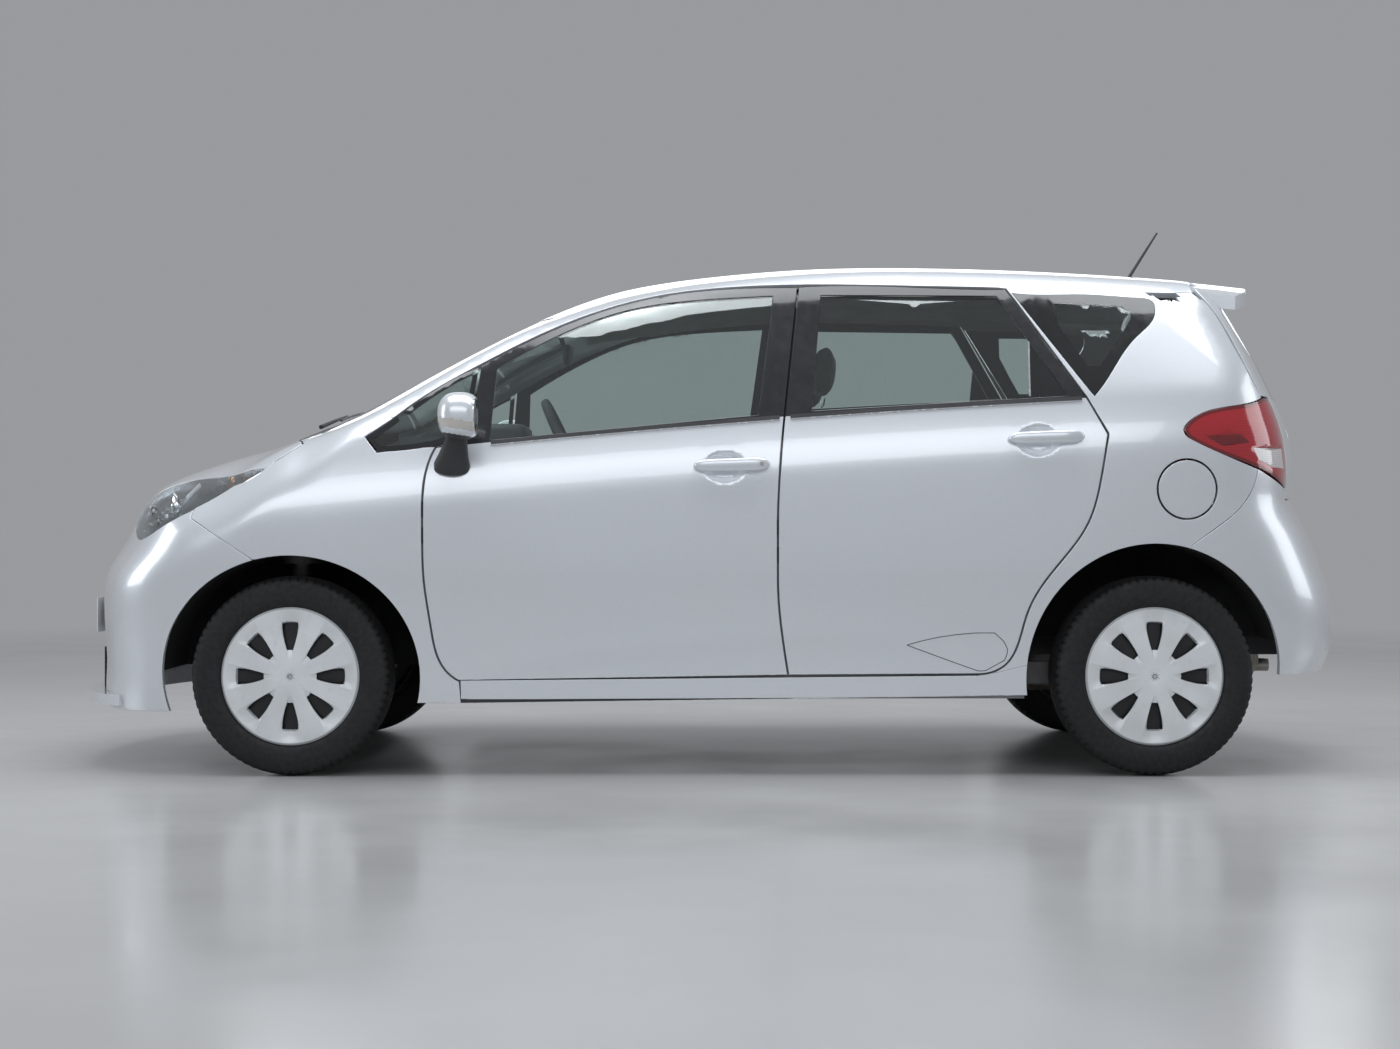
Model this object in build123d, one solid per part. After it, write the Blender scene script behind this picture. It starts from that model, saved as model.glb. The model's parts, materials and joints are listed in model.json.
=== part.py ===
from build123d import *
import math
import os

import numpy as np

# Compact minivan, closed doors, as it parks. Millimetres, +Z up, the ground at z = 0.
# It faces -X, and its left side is at -Y. The origin is on the ground, half way along.

# ---------------------------------------------------------------- driving sizes
WHEELBASE = 2550
FRONT_OVERHANG = 746
REAR_OVERHANG = 684
BODY_WIDTH = 1694
BODY_HEIGHT = 1575
TRACK = 1470

TYRE_RADIUS = 295
TYRE_WIDTH = 185
RIM_RADIUS = 190
RIM_FLANGE = 206
RIM_WALL = 9
RIM_INSET = 16              # rim edge, inboard of the tyre's side
COVER_SPOKES = 8
COVER_WALL = 7
HUB_RADIUS = 62
SHAFT_RADIUS = 20
BRAKE_DISC_RADIUS = 135
BRAKE_DISC_WALL = 20

STRUT_INSET = 140           # strut and steering axis, inboard of the wheel's middle plane
KINGPIN_RADIUS = 9
STRUT_RADIUS = 28

ARCH_GROWTH_FRONT = (88, 62)     # arch opening past the tyre, lengthwise and upwards
ARCH_GROWTH_REAR = (83, 97)
LINER_WALL = 6
WELL_INBOARD = 452               # half width between the front wheel wells
REAR_WELL_INBOARD = 560

SKIN = 10                   # outer panel of doors, hood and tailgate
FIXED_SKIN = 14.7           # outer panel of fenders and bumpers
FRAME_DEPTH = 15.8            # where the body frame starts behind the outer surface
FRAME_WALL = 60
DOOR_DEPTH = 90
WINDOW_FRAME_DEPTH = 30
GLASS_DEPTH = 3
GLASS_WALL = 5
GLASS_GAP = 0.9
ROOF_WALL = 28
LAMP_DEPTH = 55

PANEL_GAP = 6               # between a moving panel and the next one
SEAT_GAP = 0.3              # between pieces that are seated on each other
RUNNING_GAP = 0.1
DOOR_INNER_INSET = 50
APERTURE_INSET = 34
BARREL_RADIUS = 2.2         # hinge barrel, in the gap ahead of the panel that it carries
BARREL_OFFSET = 3.0
BARREL_LENGTH = 44

FLOOR_Z = 250
FLOOR_WALL = 12
REAR_FLOOR_Z = 400

SEAT_Y = 370
SEAT_WIDTH = 500
STEERING_WHEEL_RADIUS = 185
STEERING_RIM = 14
STEERING_TILT = 25
COLUMN_RADIUS = 14

PLATE_LENGTH = 520
PLATE_HEIGHT = 110
PLATE_WALL = 3

# ---------------------------------------------------------------- where the driving sizes put things
LENGTH = FRONT_OVERHANG + WHEELBASE + REAR_OVERHANG
FRONT_AXLE_X = FRONT_OVERHANG - LENGTH / 2
REAR_AXLE_X = FRONT_AXLE_X + WHEELBASE
WHEEL_Y = TRACK / 2

# The body lines below are drawn once, on a sheet with these axles and overhangs,
# and stretched from there to the driving sizes.
SHEET_AXLES = (-1244, 1306)
SHEET_OVERHANGS = (746, 684)
SHEET_WIDTH = 1694
SHEET_HEIGHT = 1575


def along(x):
    """Real place along the car of a point drawn at x."""
    front, rear = SHEET_AXLES
    if x < front:
        return FRONT_AXLE_X + (x - front) * FRONT_OVERHANG / SHEET_OVERHANGS[0]
    if x > rear:
        return REAR_AXLE_X + (x - rear) * REAR_OVERHANG / SHEET_OVERHANGS[1]
    return FRONT_AXLE_X + (x - front) * WHEELBASE / (rear - front)


def across(y):
    return y * BODY_WIDTH / SHEET_WIDTH


def up(z):
    return z * BODY_HEIGHT / SHEET_HEIGHT


def at(x, y, z):
    """Real place of a drawn point."""
    return Vector(along(x), across(y), up(z))


# ---------------------------------------------------------------- the body's shape
def curve(points):
    """Smooth function through drawn points, straight past its ends."""
    u = np.array([p[0] for p in points], float)
    v = np.array([p[1] for p in points], float)
    step = np.diff(u)
    count = len(u)
    matrix = np.eye(count)
    right = np.zeros(count)
    for i in range(1, count - 1):
        matrix[i, i - 1: i + 2] = step[i - 1], 2 * (step[i - 1] + step[i]), step[i]
        right[i] = 3 * ((v[i + 1] - v[i]) / step[i] - (v[i] - v[i - 1]) / step[i - 1])
    c = np.linalg.solve(matrix, right)
    b = np.diff(v) / step - step * (2 * c[:-1] + c[1:]) / 3
    d = (c[1:] - c[:-1]) / (3 * step)

    def value(t):
        t = np.asarray(t, float)
        i = np.clip(np.searchsorted(u, t) - 1, 0, count - 2)
        inside = np.clip(t - u[i], 0, step[i])
        past = t - u[i] - inside
        slope = b[i] + 2 * c[i] * inside + 3 * d[i] * inside ** 2
        return v[i] + b[i] * inside + c[i] * inside ** 2 + d[i] * inside ** 3 + past * slope

    return value


TOP_LINE = curve([(-1850, 815), (-1750, 878), (-1640, 923), (-1500, 966), (-1360, 1003),
                  (-1240, 1047), (-1100, 1113), (-935, 1203), (-754, 1298), (-600, 1374),
                  (-440, 1446), (-300, 1494), (-150, 1524), (50, 1548), (300, 1566),
                  (600, 1570), (900, 1563), (1200, 1548), (1500, 1525), (1700, 1503)])
NOSE_LINE = curve([(150, -1930), (230, -1940), (320, -1938), (430, -1945), (540, -1945),
                   (610, -1930), (680, -1890), (740, -1862), (800, -1845), (900, -1836)])
TAIL_LINE = curve([(280, 1945), (340, 1976), (400, 1988), (470, 1990), (540, 1978),
                   (600, 1958), (670, 1930), (740, 1898), (800, 1866), (870, 1864),
                   (950, 1862), (1043, 1844), (1142, 1803), (1241, 1753), (1341, 1693),
                   (1420, 1643), (1500, 1583)])
NOSE_SWEEP = 200            # how far nose and tail curve back at 800 from the middle
SCREEN_BOW = 115


def soft(t):
    return np.logaddexp(0, t)


def ramp(a, b, t):
    t = np.clip((t - a) / (b - a), 0, 1)
    return t * t * (3 - 2 * t)


def shoulder_line(x):
    return 925 + 0.083 * x - 1.2e-5 * x * x


def belt_line(x):
    return 1049 + 0.081 * x - 1.4e-5 * x * x


def half_width(x, z):
    """Side surface: tucked in below, a shoulder, then leaning in to the roof."""
    wide = SHEET_WIDTH / 2 - 50 * (np.maximum(650 - z, 0) / 450) ** 2
    wide = wide - 0.30 * 22 * soft((z - shoulder_line(x)) / 22)
    wide = wide - 0.16 * 18 * soft((z - belt_line(x)) / 18)
    wide = wide - 60 * (np.maximum(-x - 1100, 0) / 850) ** 2
    wide = wide - 70 * (np.maximum(x - 1100, 0) / 850) ** 2
    return wide - 1.25e-7 * np.maximum(x - 500, 0) ** 2 * np.maximum(z - belt_line(x), 0)


def top_height(x, y):
    crown = 8 + 47 * (1 - ramp(-1500, -1230, x)) + 57 * ramp(-650, -150, x)
    return TOP_LINE(x - SCREEN_BOW * (y / 650) ** 2) - crown * (y / 600) ** 2


def rounded(a, b, radius):
    """The nearer of two depths, with the corner between them rounded."""
    power = 2.3
    near_a = np.maximum(radius - a, 0)
    near_b = np.maximum(radius - b, 0)
    corner = radius - (near_a ** power + near_b ** power) ** (1 / power)
    return np.where((near_a == 0) & (near_b == 0), np.minimum(a, b), corner)


def depth(x, y, z):
    """How deep a drawn point lies inside the body, about in millimetres."""
    y = np.abs(y)
    steep = np.sqrt(1 + 0.3 * ramp(-500, -700, x))
    roof_edge = 45 + 85 * (1 - ramp(-1250, -1050, x)) + 30 * ramp(-600, -300, x)
    deep = rounded(half_width(x, z) - y, (top_height(x, y) - z) / steep, roof_edge)
    sweep = NOSE_SWEEP * (y / 800) ** 2
    deep = rounded(deep, x - NOSE_LINE(z) - sweep, 150 - 60 * ramp(650, 800, z))
    return rounded(deep, TAIL_LINE(z) - sweep - x, 150 - 90 * ramp(1050, 1250, z))


def reach(starts, directions, far=2500):
    """Where rays from inside the body come to its surface."""
    near = np.zeros(starts.shape[:-1])
    far = np.full(starts.shape[:-1], float(far))
    for _ in range(40):
        middle = (near + far) / 2
        point = starts + directions * middle[..., None]
        inside = depth(point[..., 0], point[..., 1], point[..., 2]) > 0
        near = np.where(inside, middle, near)
        far = np.where(inside, far, middle)
    return starts + directions * near[..., None]


def inward(points, step=0.5):
    """Unit directions into the body at points of its surface."""
    slopes = []
    for axis in np.eye(3) * step:
        ahead = points + axis
        behind = points - axis
        slopes.append(depth(*np.moveaxis(ahead, -1, 0)) - depth(*np.moveaxis(behind, -1, 0)))
    slopes = np.stack(slopes, axis=-1)
    return slopes / np.linalg.norm(slopes, axis=-1, keepdims=True)


def surface(rows):
    """Smooth face through rows of drawn points, with the same share of length along every row."""
    spans = np.linalg.norm(np.diff(np.array(rows), axis=1), axis=2)
    shares = np.concatenate([[0.0], np.cumsum(spans.mean(axis=0))]) / spans.mean(axis=0).sum()
    wires = [Wire([Edge.make_spline([at(*p) for p in row], parameters=list(shares))]) for row in rows]
    return Shell.make_loft(wires).faces()[0]


# Upper edge of what is drawn on the side surface.
SIDE_TOP = [(-1700, 800), (-1534, 815), (-1329, 918), (-1239, 990), (-1100, 1052), (-982, 1104),
            (-873, 1130), (-677, 1242), (-529, 1322), (-354, 1400), (-176, 1450), (1, 1472),
            (316, 1483), (887, 1470), (1285, 1458), (1466, 1476), (1517, 1416), (1592, 1256),
            (1644, 1146), (1700, 1090)]


def side_surface(x_from, x_to, z_low, level=0.0, stations=10, heights=14, z_high=None):
    """Left side between two stations, moved in from the outer surface by the level."""
    rows = []
    for x in np.linspace(x_from, x_to, stations):
        top = z_high or np.interp(x, *zip(*SIDE_TOP))
        z = np.linspace(z_low, top, heights)
        start = np.stack([np.full(heights, x), np.zeros(heights), z], axis=-1)
        rows.append(reach(start, np.array([0.0, -1.0, 0.0])))
    return surface(rows).moved(Location((0, level, 0)))


def end_surface(middle_x, ahead, z_low, z_high, level=0.0, turn=(-83, 83), heights=12, turns=21):
    """Nose (ahead = -1) or tail (ahead = 1), wrapped round an upright line at middle_x."""
    angles = np.radians(np.linspace(*turn, turns))
    rows = []
    for z in np.linspace(z_low, z_high, heights):
        start = np.stack([np.full(turns, middle_x), np.zeros(turns), np.full(turns, z)], axis=-1)
        way = np.stack([ahead * np.cos(angles), np.sin(angles), 0 * angles], axis=-1)
        points = reach(start, way)
        rows.append(points + inward(points) * level)
    return surface(rows)


def top_surface(x_from, x_to, edge, level=0.0, stations=12, columns=15):
    """Hood, screen or roof, out to the half width that edge gives at each station."""
    share = np.sin(np.radians(np.linspace(-90, 90, columns)))
    rows = []
    for x in np.linspace(x_from, x_to, stations):
        half = np.interp(x, *zip(*edge))
        start = np.stack([np.full(columns, x), share * half, np.full(columns, 600.0)], axis=-1)
        rows.append(reach(start, np.array([0.0, 0.0, 1.0])))
    return surface(rows).moved(Location((0, 0, -level)))


def pick(shape):
    """The largest face that a trim has left."""
    return max(shape.faces(), key=lambda face: face.area)


def side_wall(face, wall):
    """A trimmed left side face, given a wall towards the middle."""
    return Solid.extrude(face, Vector(0, wall, 0))


def top_wall(face, wall):
    return Solid.extrude(face, Vector(0, 0, -wall))


def end_wall(face, wall, ahead=1):
    return Solid.thicken(face, -ahead * wall)


# ---------------------------------------------------------------- outlines
def closed_face(runs, place):
    """A flat face from runs of drawn points: two are a line, more are a smooth curve."""
    edges = []
    for run in runs:
        points = [place(u, v) for u, v in run]
        edges.append(Edge.make_line(*points) if len(points) == 2 else Edge.make_spline(points))
    return Face(Wire(edges))


def polygon(points, place):
    return closed_face([(points[i - 1], points[i]) for i in range(len(points))], place)


def on_side(u, v):
    return at(u, 0, v)


def in_plan(u, v):
    return at(u, v, 0)


def on_end(u, v):
    return at(0, u, v)


def from_side(face, y_from=0.0, y_to=-1200.0):
    """Everything on the left whose side view lies in the face."""
    return Solid.extrude(face.moved(Location((0, y_from, 0))), Vector(0, y_to - y_from, 0))


def right_through(face):
    """Everything, from left to right, whose side view lies in the face."""
    return from_side(face, 1200.0)


def from_above(face, z_from=100.0, z_to=1900.0):
    return Solid.extrude(face.moved(Location((0, 0, z_from))), Vector(0, 0, z_to - z_from))


def grown(face, amount):
    """The face grown all round by an amount, its outline redrawn in plain curves."""
    edges = []
    for edge in face.outer_wire().offset_2d(amount, Kind.ARC).edges():
        if edge.geom_type not in (GeomType.LINE, GeomType.CIRCLE):
            shares = np.linspace(0, 1, max(5, round(edge.length / 40)))
            points = [edge.position_at(share) for share in shares]
            edge = Edge.make_spline(points, tangents=[edge.tangent_at(0), edge.tangent_at(1)])
        edges.append(edge)
    return Face(Wire(edges))


def block(x, y, z):
    """Box between pairs of real coordinates."""
    box = Box(x[1] - x[0], y[1] - y[0], z[1] - z[0])
    return box.moved(Location(((x[0] + x[1]) / 2, (y[0] + y[1]) / 2, (z[0] + z[1]) / 2)))


def rod(start, end, radius, end_radius=None):
    """Round bar between two real points."""
    start, end = Vector(*start), Vector(*end)
    plane = Plane(start, z_dir=end - start)
    if end_radius is None:
        return Solid.make_cylinder(radius, (end - start).length, plane)
    return Solid.make_cone(radius, end_radius, (end - start).length, plane)


def mirrored(shape):
    return shape.mirror(Plane.XZ)


def both(shape):
    return [shape, mirrored(shape)]


B_LINE = [(222, 300), (203, 425), (192, 540), (191, 650), (191, 760), (197, 900), (212, 1067)]
B_TOP = (259, 1461)
FRONT_EDGE = [(-812, 972), (-840, 895), (-848, 815), (-848.3, 750), (-848, 685), (-843, 570), (-826, 453),
              (-788, 320), (-747, 284)]
FRONT_DOOR = closed_face([
    FRONT_EDGE,
    [(-747, 284), (-300, 291), (222, 300)],
    B_LINE,
    [(212, 1067), B_TOP],
    [B_TOP, (1, 1455), (-176, 1432), (-354, 1381), (-529, 1304), (-690, 1219)],
    [(-690, 1219), (-716, 1010)],
    [(-716, 1010), (-812, 972)],
], on_side)
REAR_DOOR = closed_face([
    [(222 + PANEL_GAP, 300), (800, 304)],
    [(800, 304), (872, 340), (925, 484), (1003, 612), (1102, 747), (1145, 904), (1163, 1008)],
    [(1163, 1008), (1105, 1116)],
    [(1105, 1116), (887, 1453)],
    [(887, 1453), (639, 1459), (316, 1465), (B_TOP[0] + PANEL_GAP, B_TOP[1] + 1)],
    [(B_TOP[0] + PANEL_GAP, B_TOP[1] + 1), (212 + PANEL_GAP, 1067)],
    [(u + PANEL_GAP, v) for u, v in reversed(B_LINE)],
], on_side)
FRONT_GLASS = closed_face([
    [(-656, 993), (-643, 1209)],
    [(-643, 1209), (-457, 1314), (-277, 1386), (-35, 1423), (186, 1435)],
    [(186, 1435), (137, 1067)],
    [(137, 1067), (-656, 993)],
], on_side)
REAR_GLASS = closed_face([
    [(296, 1079), (330, 1436)],
    [(330, 1436), (859, 1432)],
    [(859, 1432), (1052, 1124)],
    [(1052, 1124), (296, 1079)],
], on_side)
QUARTER_GLASS = closed_face([
    [(905, 1443), (1124, 1438), (1285, 1428), (1330, 1416), (1338, 1388), (1273, 1306), (1164, 1162),
     (1130, 1121)],
    [(1130, 1121), (905, 1443)],
], on_side)
FRONT_QUARTER_GLASS = closed_face([
    [(-722, 1004), (-697, 1214)],
    [(-697, 1214), (-873, 1112), (-949, 1054), (-1025, 1002)],
    [(-1025, 1002), (-987, 958)],
    [(-987, 958), (-831, 974), (-722, 1004)],
], on_side)
FENDER_TOP = [(-1329, 908), (-1239, 982), (-1110, 1042), (-986, 1099)]
FENDER = closed_face([
    [(-1542, 764), (-1534, 790), (-1424, 854), (-1329, 908)],
    FENDER_TOP,
    [(-986, 1099), (-949, 1057)],
    [(-949, 1057), (-1029, 1004)],
    [(-1029, 1004), (-990, 954)],
    [(-990, 954), (-831, 971), (-812, 972)],
    FRONT_EDGE,
    [(-747, 284), (-742, 215)],
    [(-742, 215), (-1351, 215)],
    [(-1351, 215), (-1351, 640)],
    [(-1351, 640), (-1542, 764)],
], on_side)
TAIL_LAMP = closed_face([
    [(1388, 1022), (1415, 1053), (1513, 1089), (1650, 1122)],
    [(1650, 1122), (1900, 1122)],
    [(1900, 1122), (1900, 852)],
    [(1900, 852), (1729, 852)],
    [(1729, 852), (1617, 911), (1516, 946), (1405, 997)],
    [(1405, 997), (1388, 1022)],
], on_side)
REAR_BUMPER = closed_face([
    [(1412, 680), (1476, 726), (1573, 808), (1617, 907)],
    [(1617, 907), (1729, 850)],
    [(1729, 850), (2050, 815)],
    [(2050, 815), (2050, 290)],
    [(2050, 290), (1412, 290)],
    [(1412, 290), (1412, 680)],
], on_side)
HATCH_SIDE = closed_face([
    [(1466, 1600), (1466, 1473), (1517, 1397), (1592, 1234), (1641, 1128)],
    [(1641, 1128), (2050, 1128)],
    [(2050, 1128), (2050, 1600)],
    [(2050, 1600), (1466, 1600)],
], on_side)
ABOVE_FENDER = [(u, v + SEAT_GAP) for u, v in FENDER_TOP]
RAIL = closed_face([
    ABOVE_FENDER,
    [ABOVE_FENDER[-1], (-948, 1058)],
    [(-948, 1058), (-873, 1118), (-690, 1227), (-529, 1312), (-354, 1389), (-176, 1440), (1, 1463),
     (316, 1473), (639, 1466), (887, 1460), (1124, 1446)],
    [(1124, 1446), (1466, 1446)],
    [(1466, 1446), (1466, 1700)],
    [(1466, 1700), (-1329, 1700)],
    [(-1329, 1700), ABOVE_FENDER[0]],
], on_side)
SCREEN = closed_face([
    [(-1030, -650), (-1140, -540), (-1235, -290), (-1265, 0), (-1235, 290), (-1140, 540), (-1030, 650)],
    [(-1030, 650), (-750, 598), (-480, 520)],
    [(-480, 520), (-545, 280), (-565, 0), (-545, -280), (-480, -520)],
    [(-480, -520), (-750, -598), (-1030, -650)],
], in_plan)
HOOD = closed_face([
    [(-1228, 704), (-1290, 742), (-1330, 748)],
    [(-1330, 748), (-1415, 672), (-1529, 548), (-1634, 452), (-1703, 412), (-1770, 384)],
    [(-1770, 384), (-1811, 200), (-1824, 0), (-1811, -200), (-1770, -384)],
    [(-1770, -384), (-1703, -412), (-1634, -452), (-1529, -548), (-1415, -672), (-1330, -748)],
    [(-1330, -748), (-1290, -742), (-1228, -704)],
    [(-1228, -704), (-1300, -350), (-1322, 0), (-1300, 350), (-1228, 704)],
], in_plan)
HEADLAMP = [(-1330, -761, 908), (-1415, -672, 906), (-1529, -548, 894), (-1634, -452, 876),
            (-1703, -412, 853), (-1768, -386, 822)], \
           [(-1768, -386, 822), (-1800, -430, 742)], \
           [(-1800, -430, 742), (-1752, -599, 703), (-1707, -692, 700), (-1635, -753, 736),
            (-1534, -774, 790), (-1424, -758, 854), (-1330, -761, 908)]
CORNER = 1 / math.sqrt(2)


def on_corner(u, v):
    return Vector(u * CORNER, -u * CORNER, v)


def seen_from_corner(point):
    """A real point as seen level, half way between front and left."""
    real = at(*point)
    return (real.X - real.Y) * CORNER, real.Z


HEADLAMP_FACE = closed_face([[seen_from_corner(p) for p in run] for run in HEADLAMP], on_corner)


def from_corner(face, near=900.0, wall=1500.0):
    way = Vector(-CORNER, -CORNER, 0)
    return Solid.extrude(face.moved(Location(way * near)), way * wall)


def arch(axle_x, growth, clearance=0.0):
    """The round wheel opening in the left side, as a cutter."""
    outline = Face(Wire.make_ellipse(TYRE_RADIUS + growth[0] + clearance,
                                     TYRE_RADIUS + growth[1] + clearance,
                                     Plane((axle_x, 0, TYRE_RADIUS), x_dir=(1, 0, 0),
                                           z_dir=(0, -1, 0))))
    return from_side(outline)


def barrel(middle, way, to_body, wall, length=BARREL_LENGTH):
    """Hinge barrel with the web that holds it to the body."""
    middle, way, to_body = Vector(*middle), Vector(*way), Vector(*to_body)
    pin = rod(middle - way * length / 2, middle + way * length / 2, BARREL_RADIUS)
    web = Plane(middle, x_dir=way, z_dir=to_body)
    plate = Face(Wire.make_rect(length, BARREL_RADIUS * 1.4, web))
    return pin + Solid.extrude(plate, to_body * (wall - BARREL_OFFSET - SEAT_GAP))


FRONT_DOOR_HOLE = from_side(grown(FRONT_DOOR, PANEL_GAP))
REAR_DOOR_HOLE = from_side(grown(REAR_DOOR, PANEL_GAP))
FENDER_ROOM = from_side(grown(FENDER, GLASS_GAP))
FRONT_ARCH = arch(FRONT_AXLE_X, ARCH_GROWTH_FRONT)
REAR_ARCH = arch(REAR_AXLE_X, ARCH_GROWTH_REAR)
LEFT_LAMP_CUT = from_corner(HEADLAMP_FACE)
HOOD_CUT = from_above(grown(HOOD, PANEL_GAP), up(680), up(1200))
TAIL_LAMP_IN = 640
HATCH_FOOT = 815
LID_X = 1398
LID_Z = 847
LID_RADIUS = 85
HATCH_FRONT = 1466

ROOF_EDGE = [(-1150, 720), (-1036, 790), (-949, 762), (-873, 738), (-677, 693), (-529, 662),
             (-354, 616), (-177, 598), (1, 602), (316, 617), (639, 635), (887, 639), (1124, 643),
             (1286, 643), (1466, 606)]
HOOD_EDGE = [(-1850, 330), (-1770, 440), (-1634, 520), (-1529, 610), (-1415, 720), (-1330, 765),
             (-1215, 765)]


# ---------------------------------------------------------------- wheels and what carries them
def spun(profile, axle_x, side):
    """A ring about a wheel axis; the profile runs in (outboard, radius)."""
    wheel = Plane((axle_x, side * WHEEL_Y, TYRE_RADIUS), x_dir=(0, side, 0), z_dir=(side, 0, 0))
    edges = []
    for i in range(len(profile)):
        start, end = profile[i - 1], profile[i]
        edges.append(Edge.make_line(wheel.from_local_coords(start), wheel.from_local_coords(end)))
    axis = Axis((axle_x, 0, TYRE_RADIUS), (0, 1, 0))
    return Solid.revolve(Face(Wire(edges)), 360, axis)


def tyre(axle_x, side):
    half = TYRE_WIDTH / 2
    bead = RIM_RADIUS + SEAT_GAP
    foot = half - RIM_INSET - SEAT_GAP
    profile = [(-foot, bead), (foot, bead), (foot, RIM_FLANGE + 1), (half - 4, RIM_FLANGE + 6), (half, 245),
               (half - 5, 272), (half - 22, TYRE_RADIUS - 3), (half - 45, TYRE_RADIUS),
               (45 - half, TYRE_RADIUS), (22 - half, TYRE_RADIUS - 3), (5 - half, 272),
               (-half, 245), (4 - half, RIM_FLANGE + 6), (-foot, RIM_FLANGE + 1)]
    return spun(profile, axle_x, side)


def wheel(axle_x, side):
    half = TYRE_WIDTH / 2 - RIM_INSET
    inner = RIM_RADIUS - RIM_WALL
    barrel = spun([(-half, inner), (half, inner), (half, RIM_RADIUS), (-half, RIM_RADIUS)], axle_x, side)
    face_out = half + COVER_WALL
    cover = spun([(half, 0.01), (half, RIM_FLANGE), (face_out, RIM_FLANGE - 4), (face_out + 2, 120),
                  (face_out + 4, 0.01)], axle_x, side)
    slot_profile = [(84, 3), (162, 20), (162, -20), (84, -3)]
    centre = Vector(axle_x, side * WHEEL_Y, TYRE_RADIUS)
    for i in range(COVER_SPOKES):
        turn = 2 * math.pi * i / COVER_SPOKES + math.pi / 2

        def place(u, v):
            return centre + Vector(u * math.cos(turn) - v * math.sin(turn), side * (half - 3),
                                   u * math.sin(turn) + v * math.cos(turn))

        cover -= Solid.extrude(polygon(slot_profile, place), Vector(0, side * 40, 0))
    disc_in = -8 - BRAKE_DISC_WALL
    hub = spun([(disc_in, SHAFT_RADIUS + RUNNING_GAP), (46, SHAFT_RADIUS + RUNNING_GAP), (46, 0.01),
                (half, 0.01), (half, HUB_RADIUS), (34, HUB_RADIUS), (34, inner + 1), (24, inner + 1),
                (24, HUB_RADIUS), (-8, HUB_RADIUS), (-8, BRAKE_DISC_RADIUS),
                (disc_in, BRAKE_DISC_RADIUS)], axle_x, side)
    return hub + barrel + cover


def knuckle(side):
    """Hub carrier with its stub shaft, strut and ball joint pin."""
    carrier_out = -8 - BRAKE_DISC_WALL - PANEL_GAP
    y = [side * (WHEEL_Y + inset) for inset in (44, carrier_out, carrier_out - 30)]
    kingpin_y = side * (WHEEL_Y - STRUT_INSET)
    strut_y = side * (WHEEL_Y - STRUT_INSET)
    x = FRONT_AXLE_X
    shaft = rod((x, y[0], TYRE_RADIUS), (x, y[2], TYRE_RADIUS), SHAFT_RADIUS)
    carrier = rod((x, y[1], TYRE_RADIUS), (x, y[2], TYRE_RADIUS), 75)
    arm_y = sorted((y[1] - side * 2, kingpin_y - side * 22))
    lower = block((x - 30, x + 30), arm_y, (TYRE_RADIUS - 100, TYRE_RADIUS - 40))
    ear_y = sorted((y[1] - side * 2, strut_y))
    upper = block((x - 26, x + 26), ear_y, (TYRE_RADIUS + 40, TYRE_RADIUS + 95))
    strut = rod((x, strut_y, TYRE_RADIUS + 40), (x, strut_y, TYRE_RADIUS + 330), STRUT_RADIUS)
    spring = rod((x, strut_y, TYRE_RADIUS + 330), (x, strut_y, TYRE_RADIUS + 470), STRUT_RADIUS + 32)
    pin = rod((x, kingpin_y, TYRE_RADIUS - 140), (x, kingpin_y, TYRE_RADIUS - 90), KINGPIN_RADIUS)
    return shaft + carrier + lower + upper + strut + spring + pin


# ---------------------------------------------------------------- fixed body panels
def fender():
    """Left front fender, tight to the lamp, open at the wheel."""
    face = side_surface(-1570, -735, 205, stations=14) & from_side(FENDER)
    glass = from_side(grown(FRONT_QUARTER_GLASS, SEAT_GAP))
    face = pick(face - FRONT_ARCH - LEFT_LAMP_CUT - FRONT_DOOR_HOLE - glass)
    return side_wall(face, FIXED_SKIN) - HOOD_CUT


LID_HOLE = from_side(Face(Wire.make_circle(LID_RADIUS + PANEL_GAP, Plane(at(LID_X, 0, LID_Z), z_dir=(0, -1, 0)))))
QUARTER_HOLE = from_side(QUARTER_GLASS)
SILL = closed_face([
    [(-742 + SEAT_GAP, 215), (0, 225), (936, 238)],
    [(936, 238), (936, 330)],
    [(936, 330), (806, 297)],
    [(806, 297), (-742 + SEAT_GAP, 282)],
    [(-742 + SEAT_GAP, 282), (-742 + SEAT_GAP, 215)],
], on_side)
QUARTER_PANEL = closed_face([
    [(780, 225), (1412 - SEAT_GAP, 225)],
    [(1412 - SEAT_GAP, 225), (1412 - SEAT_GAP, 680)],
    [(1412 - SEAT_GAP, 680), (1475, 727), (1572, 809), (1615, 907)],
    [(1615, 907), (1516, 945), (1405, 996)],
    [(1405, 996), (1387, 1022), (1414, 1054), (1513, 1090), (1644, 1122)],
    [(1644, 1122), (1586, 1234), (1511, 1397), (1460, 1470)],
    [(1460, 1470), (1460, 1480)],
    [(1460, 1480), (870, 1480)],
    [(870, 1480), (780, 225)],
], on_side)


FRAME_TOP = 960
FRAME = polygon([(-1000, 228), (1180, 228), (1180, FRAME_TOP), (-1000, FRAME_TOP)], on_side)


def pillar_band(line, ahead, behind):
    """Upright band along a door edge line."""
    front = [(u - ahead, v) for u, v in line]
    back = [(u + behind, v) for u, v in reversed(line)]
    return closed_face([front, [front[-1], back[0]], back, [back[-1], front[0]]], on_side)


FRONT_HINGE_X = -848 - BARREL_OFFSET
REAR_HINGE_X = 191 + PANEL_GAP - BARREL_OFFSET
DOOR_HINGES = [(FRONT_HINGE_X, 712), (FRONT_HINGE_X, 788), (REAR_HINGE_X, 655), (REAR_HINGE_X, 735)]
HINGE_Y = across(SHEET_WIDTH / 2) - BARREL_RADIUS
LID_HINGE_X = LID_X - LID_RADIUS


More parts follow.
